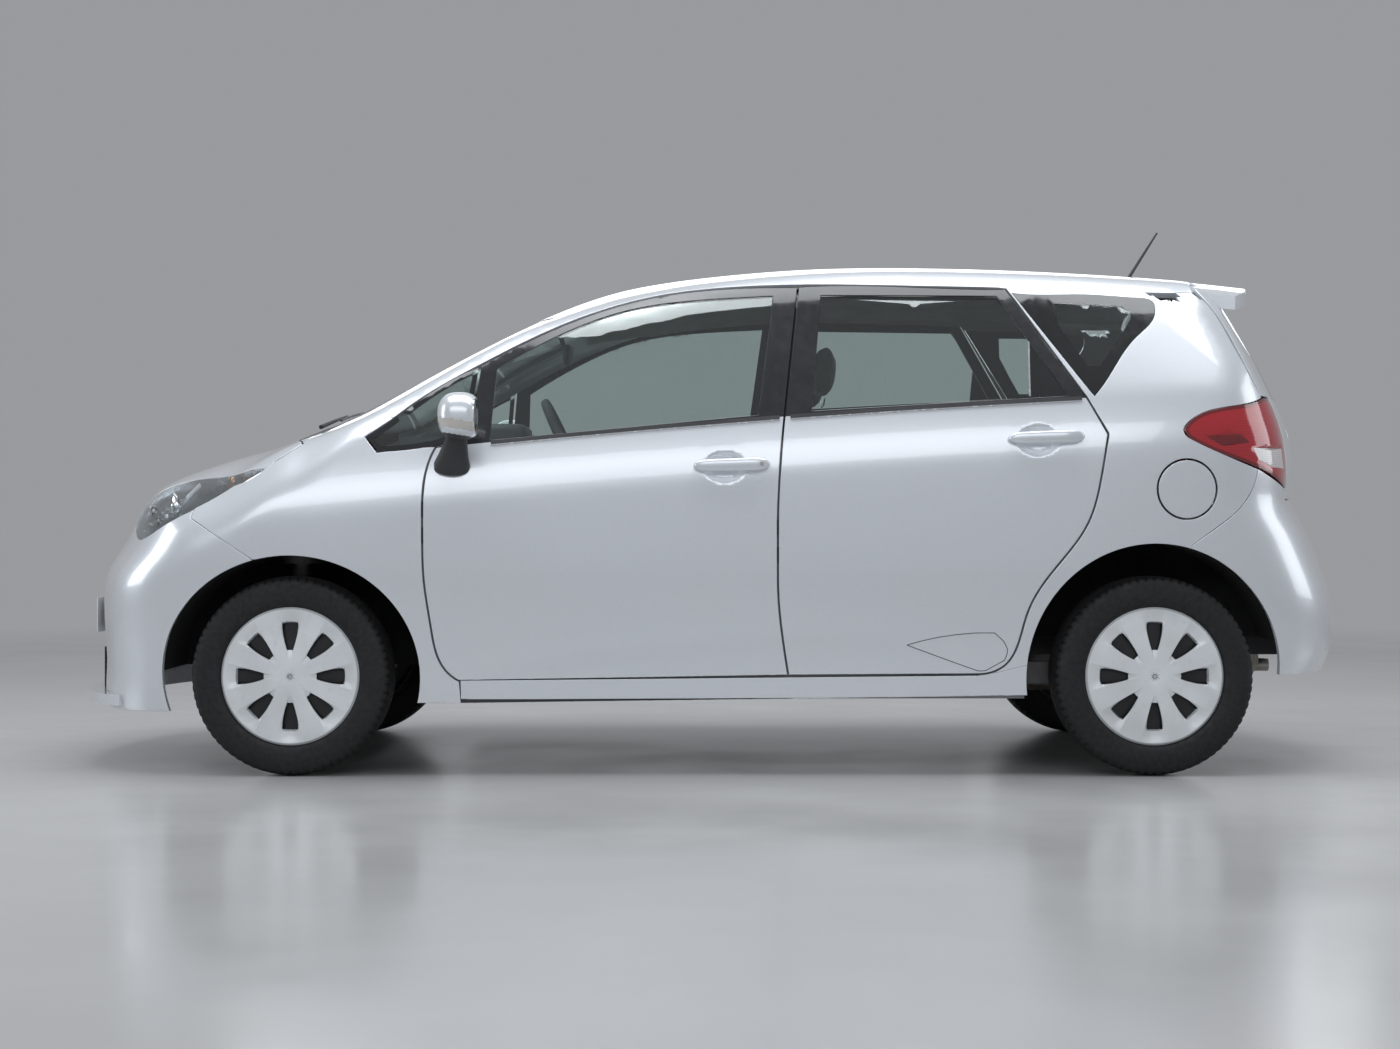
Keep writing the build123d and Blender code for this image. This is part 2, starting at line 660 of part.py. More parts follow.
def side_hinges():
    """Barrels of the two left doors and the fuel lid."""
    reach_in = FRAME_DEPTH - BARREL_RADIUS + BARREL_OFFSET - GLASS_GAP
    barrels = [barrel((along(x), -HINGE_Y, up(z)), (0, 0, 1), (0, 1, 0), reach_in) for x, z in DOOR_HINGES]
    lid_y = across(float(half_width(LID_HINGE_X, LID_Z))) - BARREL_RADIUS
    lid = barrel((along(LID_HINGE_X) - BARREL_OFFSET, -lid_y, up(LID_Z)), (0, 0, 1), (-1, 0, 0), PANEL_GAP,
                 length=16)
    return [*barrels, lid]


def quarter_wrap():
    return end_surface(900, 1, 200, 1484, turn=(-108, -38), heights=16, turns=17)


def quarter_pane():
    """Left rear quarter glass, flush with the panel round it."""
    face = quarter_wrap() & from_side(grown(QUARTER_GLASS, -GLASS_GAP))
    return end_wall(pick(face - REAR_DOOR_HOLE), GLASS_WALL)


def quarter_skin(*holes):
    """Left quarter panel with its window opening, and any more holes given."""
    quarter = quarter_wrap() & from_side(QUARTER_PANEL)
    rail = right_through(RAIL.moved(Location((0, 0, -SEAT_GAP))))
    foot = from_side(grown(SILL, SEAT_GAP))
    quarter = face_of(REAR_DOOR_HOLE, QUARTER_HOLE, REAR_ARCH, rail, foot, *holes, base=quarter)
    return end_wall(quarter, FIXED_SKIN)


def body_side():
    """Left body side: the sill skin, the frame round the door openings, the pillar and the hinges."""
    sill = side_surface(-760, 960, 205, stations=8, heights=5, z_high=345) & from_side(SILL)
    sill = side_wall(pick(sill - REAR_DOOR_HOLE - REAR_ARCH), FIXED_SKIN)

    frame = side_surface(-1010, 1190, 215, FRAME_DEPTH, stations=16, heights=14, z_high=1010)
    frame = frame & from_side(FRAME)
    for door in (FRONT_DOOR, REAR_DOOR):
        frame -= from_side(grown(door, -APERTURE_INSET))
    frame = frame - arch(FRONT_AXLE_X, ARCH_GROWTH_FRONT, LINER_WALL + 2)
    frame = pick(frame - arch(REAR_AXLE_X, ARCH_GROWTH_REAR, LINER_WALL + 2))
    frame = side_wall(frame, FRAME_WALL)
    pillar = side_surface(150, 320, 940, WINDOW_FRAME_DEPTH + PANEL_GAP, stations=4, heights=8)
    pillar = pillar & from_side(pillar_band([(203, FRAME_TOP + SEAT_GAP), (212, 1067), (261, 1472.5)], 30, 36))
    return [sill, frame, side_wall(pick(pillar), FRAME_WALL - 25), *side_hinges()]


def roof_panel():
    """Roof, rails and screen pillars."""
    face = top_surface(-1100, HATCH_FRONT - PANEL_GAP, ROOF_EDGE, stations=26, columns=21)
    face = pick((face & right_through(RAIL)) - from_above(SCREEN))
    hinge_x = along(HATCH_FRONT)
    barrels = []
    for y in (-70, 70):
        z = up(float(top_height(HATCH_FRONT, y))) - BARREL_RADIUS
        barrels.append(barrel((hinge_x - BARREL_OFFSET, y, z), (0, 1, 0), (-1, 0, 0), PANEL_GAP))
    return [top_wall(face, ROOF_WALL) & right_through(RAIL), *barrels]


def windscreen():
    face = top_surface(-1290, -440, [(-1300, 640), (-1030, 690), (-440, 560)], GLASS_DEPTH, stations=10)
    return top_wall(pick(face & from_above(grown(SCREEN, -GLASS_GAP))), GLASS_WALL)


# ---------------------------------------------------------------- nose and tail
def face_of(*cuts, base):
    for cut in cuts:
        base -= cut
    return pick(base)


GRILLE_LOW = (230, 360)          # heights of the two air openings in the front bumper
GRILLE_HIGH = (610, 655)
GRILLE_HALF = 430
FRONT_BUMPER = closed_face([
    [(-1351, 640), (-1544, 763)],
    [(-1544, 763), (-1536, 795)],
    [(-1536, 795), (-1700, 900)],
    [(-1700, 900), (-2050, 900)],
    [(-2050, 900), (-2050, 188)],
    [(-2050, 188), (-1351, 188)],
    [(-1351, 188), (-1351, 640)],
], on_side)


def end_hole(half_low, half_high, z_low, z_high, x_from, x_to):
    """Opening through the nose or tail, seen from its end."""
    outline = polygon([(-half_low, z_low), (half_low, z_low), (half_high, z_high), (-half_high, z_high)], on_end)
    return Solid.extrude(outline.moved(Location((along(x_from), 0, 0))), Vector(along(x_to) - along(x_from), 0, 0))


def front_bumper():
    base = end_surface(-1150, -1, 186, 856, heights=16) & right_through(FRONT_BUMPER)
    lamps = both(LEFT_LAMP_CUT)
    arches = both(FRONT_ARCH)
    holes = [end_hole(GRILLE_HALF - 60, GRILLE_HALF, *GRILLE_LOW, -1700, -2100),
             end_hole(GRILLE_HALF - 20, GRILLE_HALF - 60, *GRILLE_HIGH, -1700, -2100)]
    skin = end_wall(face_of(*lamps, *arches, *holes, *both(FENDER_ROOM), base=base), FIXED_SKIN, -1)
    for room in (HOOD_CUT, *both(FENDER_ROOM)):
        skin -= room
    return [skin, front_lip()]


LIP_Z = (200, 232)
LIP = closed_face([
    [(-1775, 702), (-1866, 600), (-1931, 450), (-1972, 250), (-1990, 0), (-1972, -250), (-1931, -450),
     (-1866, -600), (-1775, -702)],
    [(-1775, -702), (-1700, -640)],
    [(-1700, -640), (-1820, -430), (-1880, 0), (-1820, 430), (-1700, 640)],
    [(-1700, 640), (-1775, 702)],
], in_plan)


def front_lip():
    """Spoiler lip round the foot of the front bumper."""
    slab = from_above(LIP, up(LIP_Z[0]), up(LIP_Z[1]))
    inside = end_surface(-1150, -1, 190, 245, -SEAT_GAP, heights=4)
    return max((slab - end_wall(inside, 260, -1)).solids(), key=lambda solid: solid.volume)


def grille():
    """Slats and backing net in the two air openings."""
    slats = []
    for low, high, half in ((*GRILLE_LOW, GRILLE_HALF - 40), (*GRILLE_HIGH, GRILLE_HALF - 50)):
        height = high - low
        count = max(1, round(height / 32))
        for i in range(count):
            z = low + height * (i + 0.5) / count
            band = end_surface(-1150, -1, z - 7, z + 7, FIXED_SKIN + GLASS_GAP, turn=(-45, 45), heights=2, turns=15)
            band = band & end_hole(half + 40, half + 40, z - 6, z + 6, -1700, -2100)
            slats.append(end_wall(pick(band), 12, -1))
    return slats


def headlamp():
    face = end_surface(-1150, -1, 690, 912, heights=14) & from_corner(grown(HEADLAMP_FACE, -SEAT_GAP))
    return end_wall(pick(face), LAMP_DEPTH, -1) - HOOD_CUT


def rear_bumper():
    base = end_surface(1300, 1, 296, 912, turn=(-85, 85), heights=16) & right_through(REAR_BUMPER)
    plate = block((along(1700), along(2100)), (-TAIL_LAMP_IN, TAIL_LAMP_IN), (up(HATCH_FOOT), up(1000)))
    return end_wall(face_of(*both(REAR_ARCH), plate, base=base), FIXED_SKIN)


def tail_lamp():
    lamp = from_side(grown(TAIL_LAMP, -SEAT_GAP), y_from=-across(TAIL_LAMP_IN))
    face = end_surface(1300, 1, 842, 1132, turn=(-86, 86)) & lamp
    return end_wall(pick(face), LAMP_DEPTH)


REAR_WINDOW = closed_face([
    [(-560, 1130), (0, 1112), (560, 1130)],
    [(560, 1130), (500, 1432)],
    [(500, 1432), (0, 1452), (-500, 1432)],
    [(-500, 1432), (-560, 1130)],
], on_end)


def from_behind(face, x_from=1350.0, x_to=2150.0):
    return Solid.extrude(face.moved(Location((along(x_from), 0, 0))), Vector(along(x_to) - along(x_from), 0, 0))


def hatch_cut(gap):
    """What the tailgate takes from the tail, seen from the side and from behind."""
    side = right_through(grown(HATCH_SIDE, -gap) if gap else HATCH_SIDE)
    half = across(TAIL_LAMP_IN) - PANEL_GAP - gap
    return side + block((along(1560), along(2150)), (-half, half), (up(HATCH_FOOT) + PANEL_GAP + gap, up(1200)))


def tailgate():
    """Tailgate skin with its window opening, inner frame and roof spoiler."""
    roof_side = under_spoiler()
    skin = tail_wrap() & hatch_cut(0)
    skin = end_wall(face_of(from_behind(REAR_WINDOW), roof_side, base=skin), SKIN)
    inner = tail_wrap(SKIN + GLASS_GAP) & hatch_cut(45)
    inner = end_wall(face_of(from_behind(grown(REAR_WINDOW, 12)), roof_side, base=inner), 35)
    return [skin, inner, top_wall(spoiler_face(SPOILER), SPOILER_WALL)]


def tail_wrap(level=0.0):
    return end_surface(1250, 1, 800, 1462, level, heights=16)


def tailgate_glass():
    """Rear window, flush with the tailgate's skin."""
    face = tail_wrap() & from_behind(grown(REAR_WINDOW, -GLASS_GAP))
    return end_wall(pick(face - under_spoiler()), GLASS_WALL)


SPOILER = closed_face([
    [(HATCH_FRONT, -560), (1600, -565)],
    [(1600, -565), (1650, -470), (1682, -250), (1690, 0), (1682, 250), (1650, 470), (1600, 565)],
    [(1600, 565), (HATCH_FRONT, 560)],
    [(HATCH_FRONT, 560), (HATCH_FRONT, -560)],
], in_plan)
SPOILER_WALL = 42


def spoiler_face(outline):
    rows = []
    for x in np.linspace(HATCH_FRONT - 4, 1696, 6):
        y = np.linspace(-590, 590, 13)
        rows.append([(x, v, float(top_height(x, v)) - 30 * (abs(v) / 590) ** 4) for v in y])
    return pick(surface(rows) & from_above(outline))


def under_spoiler():
    """Everything above the underside of the spoiler, and a little beside it."""
    face = spoiler_face(grown(SPOILER, SKIN + GLASS_GAP)).moved(Location((0, 0, 200)))
    return top_wall(face, 200 + SPOILER_WALL + GLASS_GAP)


# ---------------------------------------------------------------- hood and doors
def hood():
    """Hood skin and the stiffening frame under it."""
    skin = top_surface(-1832, -1215, HOOD_EDGE) & from_above(HOOD)
    inner = top_surface(-1832, -1215, HOOD_EDGE, SKIN + SEAT_GAP) & from_above(grown(HOOD, -60))
    return [top_wall(pick(skin), SKIN), top_wall(pick(inner), 18)]


def door(outline, glass, x_from, x_to):
    """Left door: skin with its window frame, and the inner part below the window."""
    base = side_surface(x_from, x_to, 270)
    skin = side_wall(pick((base & from_side(outline)) - from_side(glass)), SKIN)
    inner = base.moved(Location((0, SKIN + SEAT_GAP, 0))) & from_side(grown(outline, -DOOR_INNER_INSET))
    below = from_side(polygon([(x_from, 200), (x_to, 200), (x_to, 950), (x_from, 900)], on_side))
    inner = side_wall(pick(inner & below), DOOR_DEPTH - SKIN)
    return [skin, inner]


def pane(outline, x_from, x_to, fixed=False):
    """Side glass; a fixed pane keeps off the doors."""
    face = side_surface(x_from, x_to, 900, GLASS_DEPTH, stations=8) & from_side(grown(outline, -GLASS_GAP))
    return side_wall(pick(face - FRONT_DOOR_HOLE if fixed else face), GLASS_WALL)


def fuel_lid():
    disc = from_side(Face(Wire.make_circle(LID_RADIUS, Plane(at(LID_X, 0, LID_Z), z_dir=(0, -1, 0)))))
    face = side_surface(LID_X - 110, LID_X + 110, LID_Z - 110, stations=4, heights=5, z_high=LID_Z + 110)
    return side_wall(pick(face & disc), SKIN)


def door_handle(middle_x, middle_z, outline_half=112):
    """Pull bar on two feet, standing off the left door's skin."""
    low, high = middle_z - 11, middle_z + 13
    bar = side_surface(middle_x - 130, middle_x + 130, low - 20, -HANDLE_STAND, stations=4, heights=4,
                       z_high=high + 20)
    shape = polygon([(middle_x - outline_half, low), (middle_x + outline_half, low + 4),
                     (middle_x + outline_half, high), (middle_x - outline_half, high - 2)], on_side)
    bar = side_wall(pick(bar & from_side(shape)), HANDLE_WALL)
    feet = []
    for x in (middle_x - outline_half, middle_x + outline_half - 30):
        foot = polygon([(x, low + 2), (x + 30, low + 2), (x + 30, high - 3), (x, high - 3)], on_side)
        face = side_surface(middle_x - 130, middle_x + 130, low - 20, HANDLE_WALL + SEAT_GAP - HANDLE_STAND,
                            stations=4, heights=4, z_high=high + 20)
        feet.append(side_wall(pick(face & from_side(foot)), HANDLE_STAND - HANDLE_WALL - SEAT_GAP - GLASS_GAP))
    return [bar, *feet]


FRONT_DOOR_SPAN = (-870, 280)
HANDLE_STAND = 36
HANDLE_WALL = 14
MIRROR_MIDDLE = (-742, -925, 1066)
MIRROR_SIZE = (128, 176, 138)


def door_mirror():
    """Left outside mirror on its foot."""
    x, y, z = MIRROR_MIDDLE
    long, wide, high = MIRROR_SIZE
    middle = at(x, y, z)
    housing = Box(long, wide, high)
    housing = fillet(housing.edges().filter_by(Axis.Y), 44)
    housing = fillet(housing.edges().group_by(Axis.Y)[0], 30)
    housing = housing.moved(Location(middle)).solid()
    skin_y = across(-half_width(x, 935)) + 8
    skin = side_wall(side_surface(*FRONT_DOOR_SPAN, 270, -SEAT_GAP), 60)
    base = Face(Wire.make_polygon([Vector(middle.X + u, skin_y, up(935) + v)
                                   for u, v in ((-62, -24), (50, -24), (44, 22), (-56, 22))]))
    knee = Face(Wire.make_polygon([Vector(middle.X + u, skin_y - 46, up(958) + v)
                                   for u, v in ((-50, -16), (38, -16), (34, 18), (-44, 18))]))
    root = Solid.make_loft([base.outer_wire(), knee.outer_wire()], ruled=True)
    top = Face(Wire.make_polygon([Vector(middle.X + u, middle.Y + v, middle.Z - high / 2 + 12)
                                  for u, v in ((-44, 20), (34, 20), (34, 74), (-44, 74))]))
    low = Face(Wire.make_polygon([Vector(middle.X + u, skin_y + v, up(946))
                                  for u, v in ((-44, -52), (34, -52), (34, -16), (-44, -16))]))
    neck = Solid.make_loft([low.outer_wire(), top.outer_wire()], ruled=True)
    return (housing + root + neck) - skin


# ---------------------------------------------------------------- floor, running gear and engine
def floor_half(z):
    """Half width between the inner faces of the body frame."""
    return across(float(half_width(0, z * SHEET_HEIGHT / BODY_HEIGHT))) - FRAME_DEPTH - FRAME_WALL - GLASS_GAP


BEAM_WALL = 30
BEAM_GAP = 12               # from a bumper's skin to the beam behind it
RAIL_HALF = (372, WELL_INBOARD - SEAT_GAP)
RAIL_Z = (400, 480)
FIREWALL_X = -850
STEP_X = 700
TOWER_RADIUS = STRUT_RADIUS + 32 + 35
REAR_FLOOR_HALF = REAR_WELL_INBOARD - 15


def underbody():
    """Floor with its step, firewall, rails, strut towers and bumper beams."""
    half = floor_half(FLOOR_Z)
    front = along(FIREWALL_X)
    step = along(STEP_X)
    floor = block((front, step + FLOOR_WALL), (-half, half), (FLOOR_Z, FLOOR_Z + FLOOR_WALL))
    floor += block((front, front + FLOOR_WALL), (-half, half), (FLOOR_Z, up(900)))
    floor += block((step, step + FLOOR_WALL), (-half, half), (FLOOR_Z, REAR_FLOOR_Z + FLOOR_WALL))
    floor += block((step, REAR_AXLE_X - TYRE_RADIUS - 106), (-half, half), (REAR_FLOOR_Z, REAR_FLOOR_Z + FLOOR_WALL))
    rear = block((step, along(1985)), (-REAR_FLOOR_HALF, REAR_FLOOR_HALF), (REAR_FLOOR_Z, REAR_FLOOR_Z + FLOOR_WALL))
    for side in (-1, 1):
        y = sorted((side * 400, side * 450))
        rear += block((step, along(1860)), y, (REAR_FLOOR_Z - 60, REAR_FLOOR_Z))
    tail = end_wall(end_surface(1300, 1, 330, 820, -60, turn=(-60, 60)), 60 + FIXED_SKIN + BEAM_GAP + 21)
    floor += rear - tail
    nose_beam = end_wall(pick(end_surface(-1150, -1, 420, 560, FIXED_SKIN + BEAM_GAP, turn=(-50, 50), heights=5)
                              & end_hole(520, 520, 440, 540, -1700, -2100)), BEAM_WALL, -1)
    nose = end_wall(end_surface(-1150, -1, 380, 500, -60, turn=(-50, 50), heights=5),
                    60 + FIXED_SKIN + BEAM_GAP + BEAM_WALL + SEAT_GAP, -1)
    for side in (-1, 1):
        y = sorted((side * RAIL_HALF[0], side * RAIL_HALF[1]))
        floor += block((along(-1900), front), y, RAIL_Z) - nose
        strut_y = side * (WHEEL_Y - STRUT_INSET)
        top = TYRE_RADIUS + 470 + PANEL_GAP
        tower = rod((FRONT_AXLE_X, strut_y, RAIL_Z[1] + 180), (FRONT_AXLE_X, strut_y, top + 8), TOWER_RADIUS + 6)
        tower -= rod((FRONT_AXLE_X, strut_y, RAIL_Z[1]), (FRONT_AXLE_X, strut_y, top), TOWER_RADIUS)
        leg_y = sorted((side * (WELL_INBOARD - 30), side * (WELL_INBOARD - SEAT_GAP)))
        shelf_y = sorted((side * (WELL_INBOARD - 30), strut_y - side * (TOWER_RADIUS + 2)))
        shelf = block((FRONT_AXLE_X - 60, FRONT_AXLE_X + 60), shelf_y, (top, top + 8))
        leg = block((FRONT_AXLE_X - 60, FRONT_AXLE_X + 60), leg_y, (RAIL_Z[1] - 5, top + 8))
        floor += tower + shelf + leg
    panel = end_surface(1300, 1, REAR_FLOOR_Z - 60, up(HATCH_FOOT - 20), FIXED_SKIN + BEAM_GAP, turn=(-60, 60))
    panel = end_wall(pick(panel & end_hole(REAR_FLOOR_HALF, REAR_FLOOR_HALF, REAR_FLOOR_Z - 55, HATCH_FOOT - 25,
                                           1500, 2100)), 20)
    return [max(floor.solids(), key=lambda solid: solid.volume), nose_beam, panel]


def ring(axle_x, growth, y_in, y_out, z_low):
    """Half round liner over a left wheel, between two half widths."""
    shell = arch(axle_x, growth, LINER_WALL) - arch(axle_x, growth)
    return shell & block((axle_x - 600, axle_x + 600), (-y_out, -y_in), (z_low, 900))


def well_wall(axle_x, growth, y_in, z_low, hole):
    wall = arch(axle_x, growth, LINER_WALL) & block((axle_x - 600, axle_x + 600), (-y_in - LINER_WALL, -y_in),
                                                     (z_low, 900))
    if hole:
        wall -= rod((axle_x, -y_in - 50, TYRE_RADIUS), (axle_x, -y_in + 50, TYRE_RADIUS), hole)
    return wall


def left_liners():
    front = ring(FRONT_AXLE_X, ARCH_GROWTH_FRONT, WELL_INBOARD, 775, 310)
    front += well_wall(FRONT_AXLE_X, ARCH_GROWTH_FRONT, WELL_INBOARD, 310, 235)
    strut_y = WHEEL_Y - STRUT_INSET
    front -= rod((FRONT_AXLE_X, -strut_y, 500), (FRONT_AXLE_X, -strut_y, 900), TOWER_RADIUS + 6 + SEAT_GAP)
    rear = ring(REAR_AXLE_X, ARCH_GROWTH_REAR, REAR_FLOOR_HALF + SEAT_GAP, 765, REAR_FLOOR_Z)
    rear += well_wall(REAR_AXLE_X, ARCH_GROWTH_REAR, REAR_FLOOR_HALF + SEAT_GAP, REAR_FLOOR_Z, 0)
    return [*front.solids(), rear]


def engine():
    """Engine and gearbox as one plain block, the radiator and the drive shafts."""
    x = FRONT_AXLE_X
    block_half = 350
    motor = block((x - 310, x + 190), (-block_half, block_half), (300, 780))
    for side in (-1, 1):
        y = sorted((side * (block_half - 5), side * (RAIL_HALF[0] - SEAT_GAP)))
        motor += block((x - 60, x + 60), y, (RAIL_Z[0] + 20, RAIL_Z[1] - 20))
        motor += rod((x, side * (block_half - 5), TYRE_RADIUS + 20), (x, side * 596, TYRE_RADIUS), 13)
    radiator = block((along(-1790), along(-1755)), (SEAT_GAP - RAIL_HALF[0], RAIL_HALF[0] - SEAT_GAP), (270, 640))
    return [motor, radiator]


def front_suspension():
    """Subframe under the rails and the lower arms with the ball joint eyes."""
    x = FRONT_AXLE_X
    frame = block((x - 110, x + 130), (-RAIL_HALF[0] - 20, RAIL_HALF[0] + 20), (205, 250))
    for side in (-1, 1):
        kingpin_y = side * (WHEEL_Y - STRUT_INSET)
        post_y = sorted((side * RAIL_HALF[0], side * (RAIL_HALF[0] + 20)))
        for post_x in (x - 110, x + 90):
            frame += block((post_x, post_x + 40), post_y, (205, RAIL_Z[0] - SEAT_GAP))
        frame += block((x - 40, x + 40), post_y, (160, 210))
        arm_y = sorted((side * (RAIL_HALF[0] + 15), kingpin_y))
        frame += block((x - 34, x + 34), arm_y, (160, 184))
        frame += rod((x, kingpin_y, 160), (x, kingpin_y, 184), 34)
        frame -= rod((x, kingpin_y, 150), (x, kingpin_y, 200), KINGPIN_RADIUS + RUNNING_GAP)
    return frame


def rear_axle():
    """Twist beam with trailing arms and the stub shafts of the rear wheels."""
    x = REAR_AXLE_X
    arm_half = (588, WHEEL_Y - TYRE_WIDTH / 2 - PANEL_GAP)
    axle = block((x - 180, x - 110), (-arm_half[0] - 10, arm_half[0] + 10), (255, 325))
    front = x - TYRE_RADIUS - 150
    for side in (-1, 1):
        y = sorted((side * arm_half[0], side * arm_half[1]))
        axle += block((front, x + 50), y, (262, 328))
        axle += block((front, front + 38), y, (262, REAR_FLOOR_Z - SEAT_GAP))
        inner = side * (arm_half[1] - 20)
        outer = side * (WHEEL_Y - 8 - BRAKE_DISC_WALL - PANEL_GAP)
        axle += rod((x, inner, TYRE_RADIUS), (x, outer, TYRE_RADIUS), 60)
        axle += rod((x, outer, TYRE_RADIUS), (x, side * (WHEEL_Y + 44), TYRE_RADIUS), SHAFT_RADIUS)
    return axle


def exhaust():
    """Pipe, silencer and tail pipe, hung under the floor."""
    y, z = 180, 212
    pipe = rod((along(-930), y, z), (along(1480), y, z), 25)
    pipe += rod((along(1480), y, z), (along(1700), y, 290), 25)
    pipe += rod((along(1740), 60, 300), (along(1740), 385, 300), 78)
    pipe += rod((along(1740), 340, 262), (along(1915), 340, 262), 22)
    pipe += block((along(0), along(0) + 30), (y - 12, y + 12), (z + 10, FLOOR_Z - SEAT_GAP))
    pipe += block((along(1740) - 15, along(1740) + 15), (290, 320), (360, REAR_FLOOR_Z - SEAT_GAP))
    return pipe


def cowl():
    """Black panel between the hood and the windscreen, with the hood's hinge barrels."""
    above = right_through(COWL)
    face = top_surface(-1330, -1000, ROOF_EDGE_AHEAD, stations=8) & above
    panel = top_wall(face_of(HOOD_CUT, from_above(SCREEN), base=face), 16) & above
    barrels = []
    for side in (-1, 1):
        barrels.append(barrel((along(HOOD_HINGE_X), side * across(680), hood_hinge_z()), (0, 1, 0), (1, 0, 0),
                              PANEL_GAP, length=12))
    return [panel, *barrels]


ROOF_EDGE_AHEAD = [(-1330, 700), (-1228, 712), (-1000, 704)]
COWL = RAIL & polygon([(-1329, 800), (-1100 - SEAT_GAP, 800), (-1100 - SEAT_GAP, 1300), (-1329, 1300)], on_side)
HOOD_HINGE_X = -1228 + BARREL_OFFSET


def hood_hinge_z():
    surface_point = reach(np.array([[-1228.0, 700.0, 600.0]]), np.array([0.0, 0.0, 1.0]))
    return up(float(surface_point[0, 2])) - BARREL_RADIUS


# ---------------------------------------------------------------- inside
DASH_FRONT = FIREWALL_X + FLOOR_WALL + SEAT_GAP
DASH = [(DASH_FRONT, 560), (-700, 560), (-690, 640), (-600, 760), (-588, 940), (-640, 985), (-940, 1012),
        (-940, 902), (DASH_FRONT, 902)]
DASH_HALF = 690
STEERING_CENTRE = (-440, 955)
CONSOLE_HALF = 95


def steering_way():
    tilt = math.radians(STEERING_TILT)
    return Vector(math.cos(tilt), 0, math.sin(tilt))


def steering_centre():
    return Vector(along(STEERING_CENTRE[0]), -SEAT_Y, up(STEERING_CENTRE[1]))


def dashboard():
    profile = polygon(DASH, on_side).moved(Location((0, DASH_HALF, 0)))
    dash = Solid.extrude(profile, Vector(0, -2 * DASH_HALF, 0))
    centre, way = steering_centre(), steering_way()
    dash -= rod(centre - way * 400, centre, COLUMN_RADIUS + RUNNING_GAP)
    console = block((along(-590), along(120)), (-CONSOLE_HALF, CONSOLE_HALF), (FLOOR_Z + FLOOR_WALL + SEAT_GAP, 480))
    return [dash, console]


def steering_wheel():
    centre, way = steering_centre(), steering_way()
    wheel_plane = Plane(centre, z_dir=way)
    rim = Solid.make_torus(STEERING_WHEEL_RADIUS, STEERING_RIM, wheel_plane)
    hub = rod(centre - way * 60, centre - way * 5, 62)
    column = rod(centre - way * 290, centre - way * 50, COLUMN_RADIUS)
    body = rim + hub + column
    across_wheel = Vector(0, 1, 0)
    down = way.cross(across_wheel)
    for spoke in (across_wheel, -across_wheel, down if down.Z < 0 else -down):
        start = centre - way * 26 + spoke * 40
        body += rod(start, centre + spoke * (STEERING_WHEEL_RADIUS - 4), 13)
    return body


def slab(profile, y, half):
    """Cushion: a side profile, as wide as the seat."""
    face = polygon(profile, on_side).moved(Location((0, y + half, 0)))
    return Solid.extrude(face, Vector(0, -2 * half, 0))


SEAT_BASE = [(-250, 430), (160, 430), (160, 300), (-250, 300)]
SEAT_CUSHION = [(-330, 431), (-345, 520), (-310, 562), (60, 548), (150, 560), (196, 431)]
SEAT_BACK = [(150.5, 562), (197, 431), (262, 440), (386, 1040), (372, 1110), (318, 1112)]
SEAT_HEAD = [(318, 1135), (308, 1180), (322, 1290), (366, 1306), (388, 1280), (380, 1140)]
BENCH_CUSHION = [(745, 440), (735, 540), (770, 590), (1120, 572), (1196, 590), (1230, 440)]
BENCH_BACK = [(1203, 590), (1238, 440), (1318, 440), (1448, 1080), (1440, 1120), (1372, 1124)]
BENCH_HEAD = [(1382, 1146), (1374, 1180), (1392, 1270), (1430, 1284), (1456, 1262), (1448, 1150)]


def head_stalks(y, low, high, top):
    return [rod(at(low, 0, high) + Vector(0, y + side * 55, SEAT_GAP), at(low + 4, 0, top) + Vector(0, y + side * 55, -SEAT_GAP), 6)
            for side in (-1, 1)]


def front_seats():
    solids = []
    for y in (-SEAT_Y, SEAT_Y):
        base = block((along(-250), along(160)), (y - 180, y + 180), (FLOOR_Z + FLOOR_WALL + SEAT_GAP, up(431) - SEAT_GAP))
        solids += [base, slab(SEAT_CUSHION, y, SEAT_WIDTH / 2), slab(SEAT_BACK, y, SEAT_WIDTH / 2 - 10),
                   slab(SEAT_HEAD, y, 125), *head_stalks(y, 346, 1112, 1136.6)]
    return solids


def rear_seat():
    half = REAR_FLOOR_HALF - PANEL_GAP
    base = block((along(760), along(1240)), (-half + 40, half - 40), (REAR_FLOOR_Z + FLOOR_WALL + SEAT_GAP, up(440) - SEAT_GAP))
    solids = [base, slab(BENCH_CUSHION, 0, half), slab(BENCH_BACK, 0, half)]
    for y in (-300, 300):
        solids += [slab(BENCH_HEAD, y, 120), *head_stalks(y, 1408, 1123, 1147)]
    return solids


# ---------------------------------------------------------------- small pieces outside
def front_plate():
    x = along(-1952)
    plate = block((x - PLATE_WALL, x), (-PLATE_LENGTH / 2, PLATE_LENGTH / 2), (up(400), up(400) + PLATE_HEIGHT))
    holder = block((x, x + 30), (-60, 60), (up(425), up(425) + 50))
    nose = end_wall(end_surface(-1150, -1, 380, 540, -SEAT_GAP, turn=(-30, 30), heights=5), 60, -1)
    return plate + (holder - nose)


def rear_plate():
    x = along(1874)
    plate = block((x, x + PLATE_WALL), (-PLATE_LENGTH / 2, PLATE_LENGTH / 2), (up(880), up(880) + PLATE_HEIGHT))
    holder = block((x - 30, x), (-60, 60), (up(905), up(905) + 50))
    tail = end_wall(end_surface(1250, 1, 860, 1020, -SEAT_GAP, turn=(-30, 30), heights=5), 60)
    return plate + (holder - tail)


def antenna():
    foot = at(1365, 0, float(top_height(1365, 0)) + SEAT_GAP)
    mast = rod(foot, at(1470, 0, 1703), 6, 3)
    pad = rod(foot, foot + Vector(0, 0, 14), 24, 14)
    return (mast + pad) - top_wall(top_surface(1300, 1420, [(1300, 60), (1420, 60)], -SEAT_GAP, stations=3, columns=5), 40)


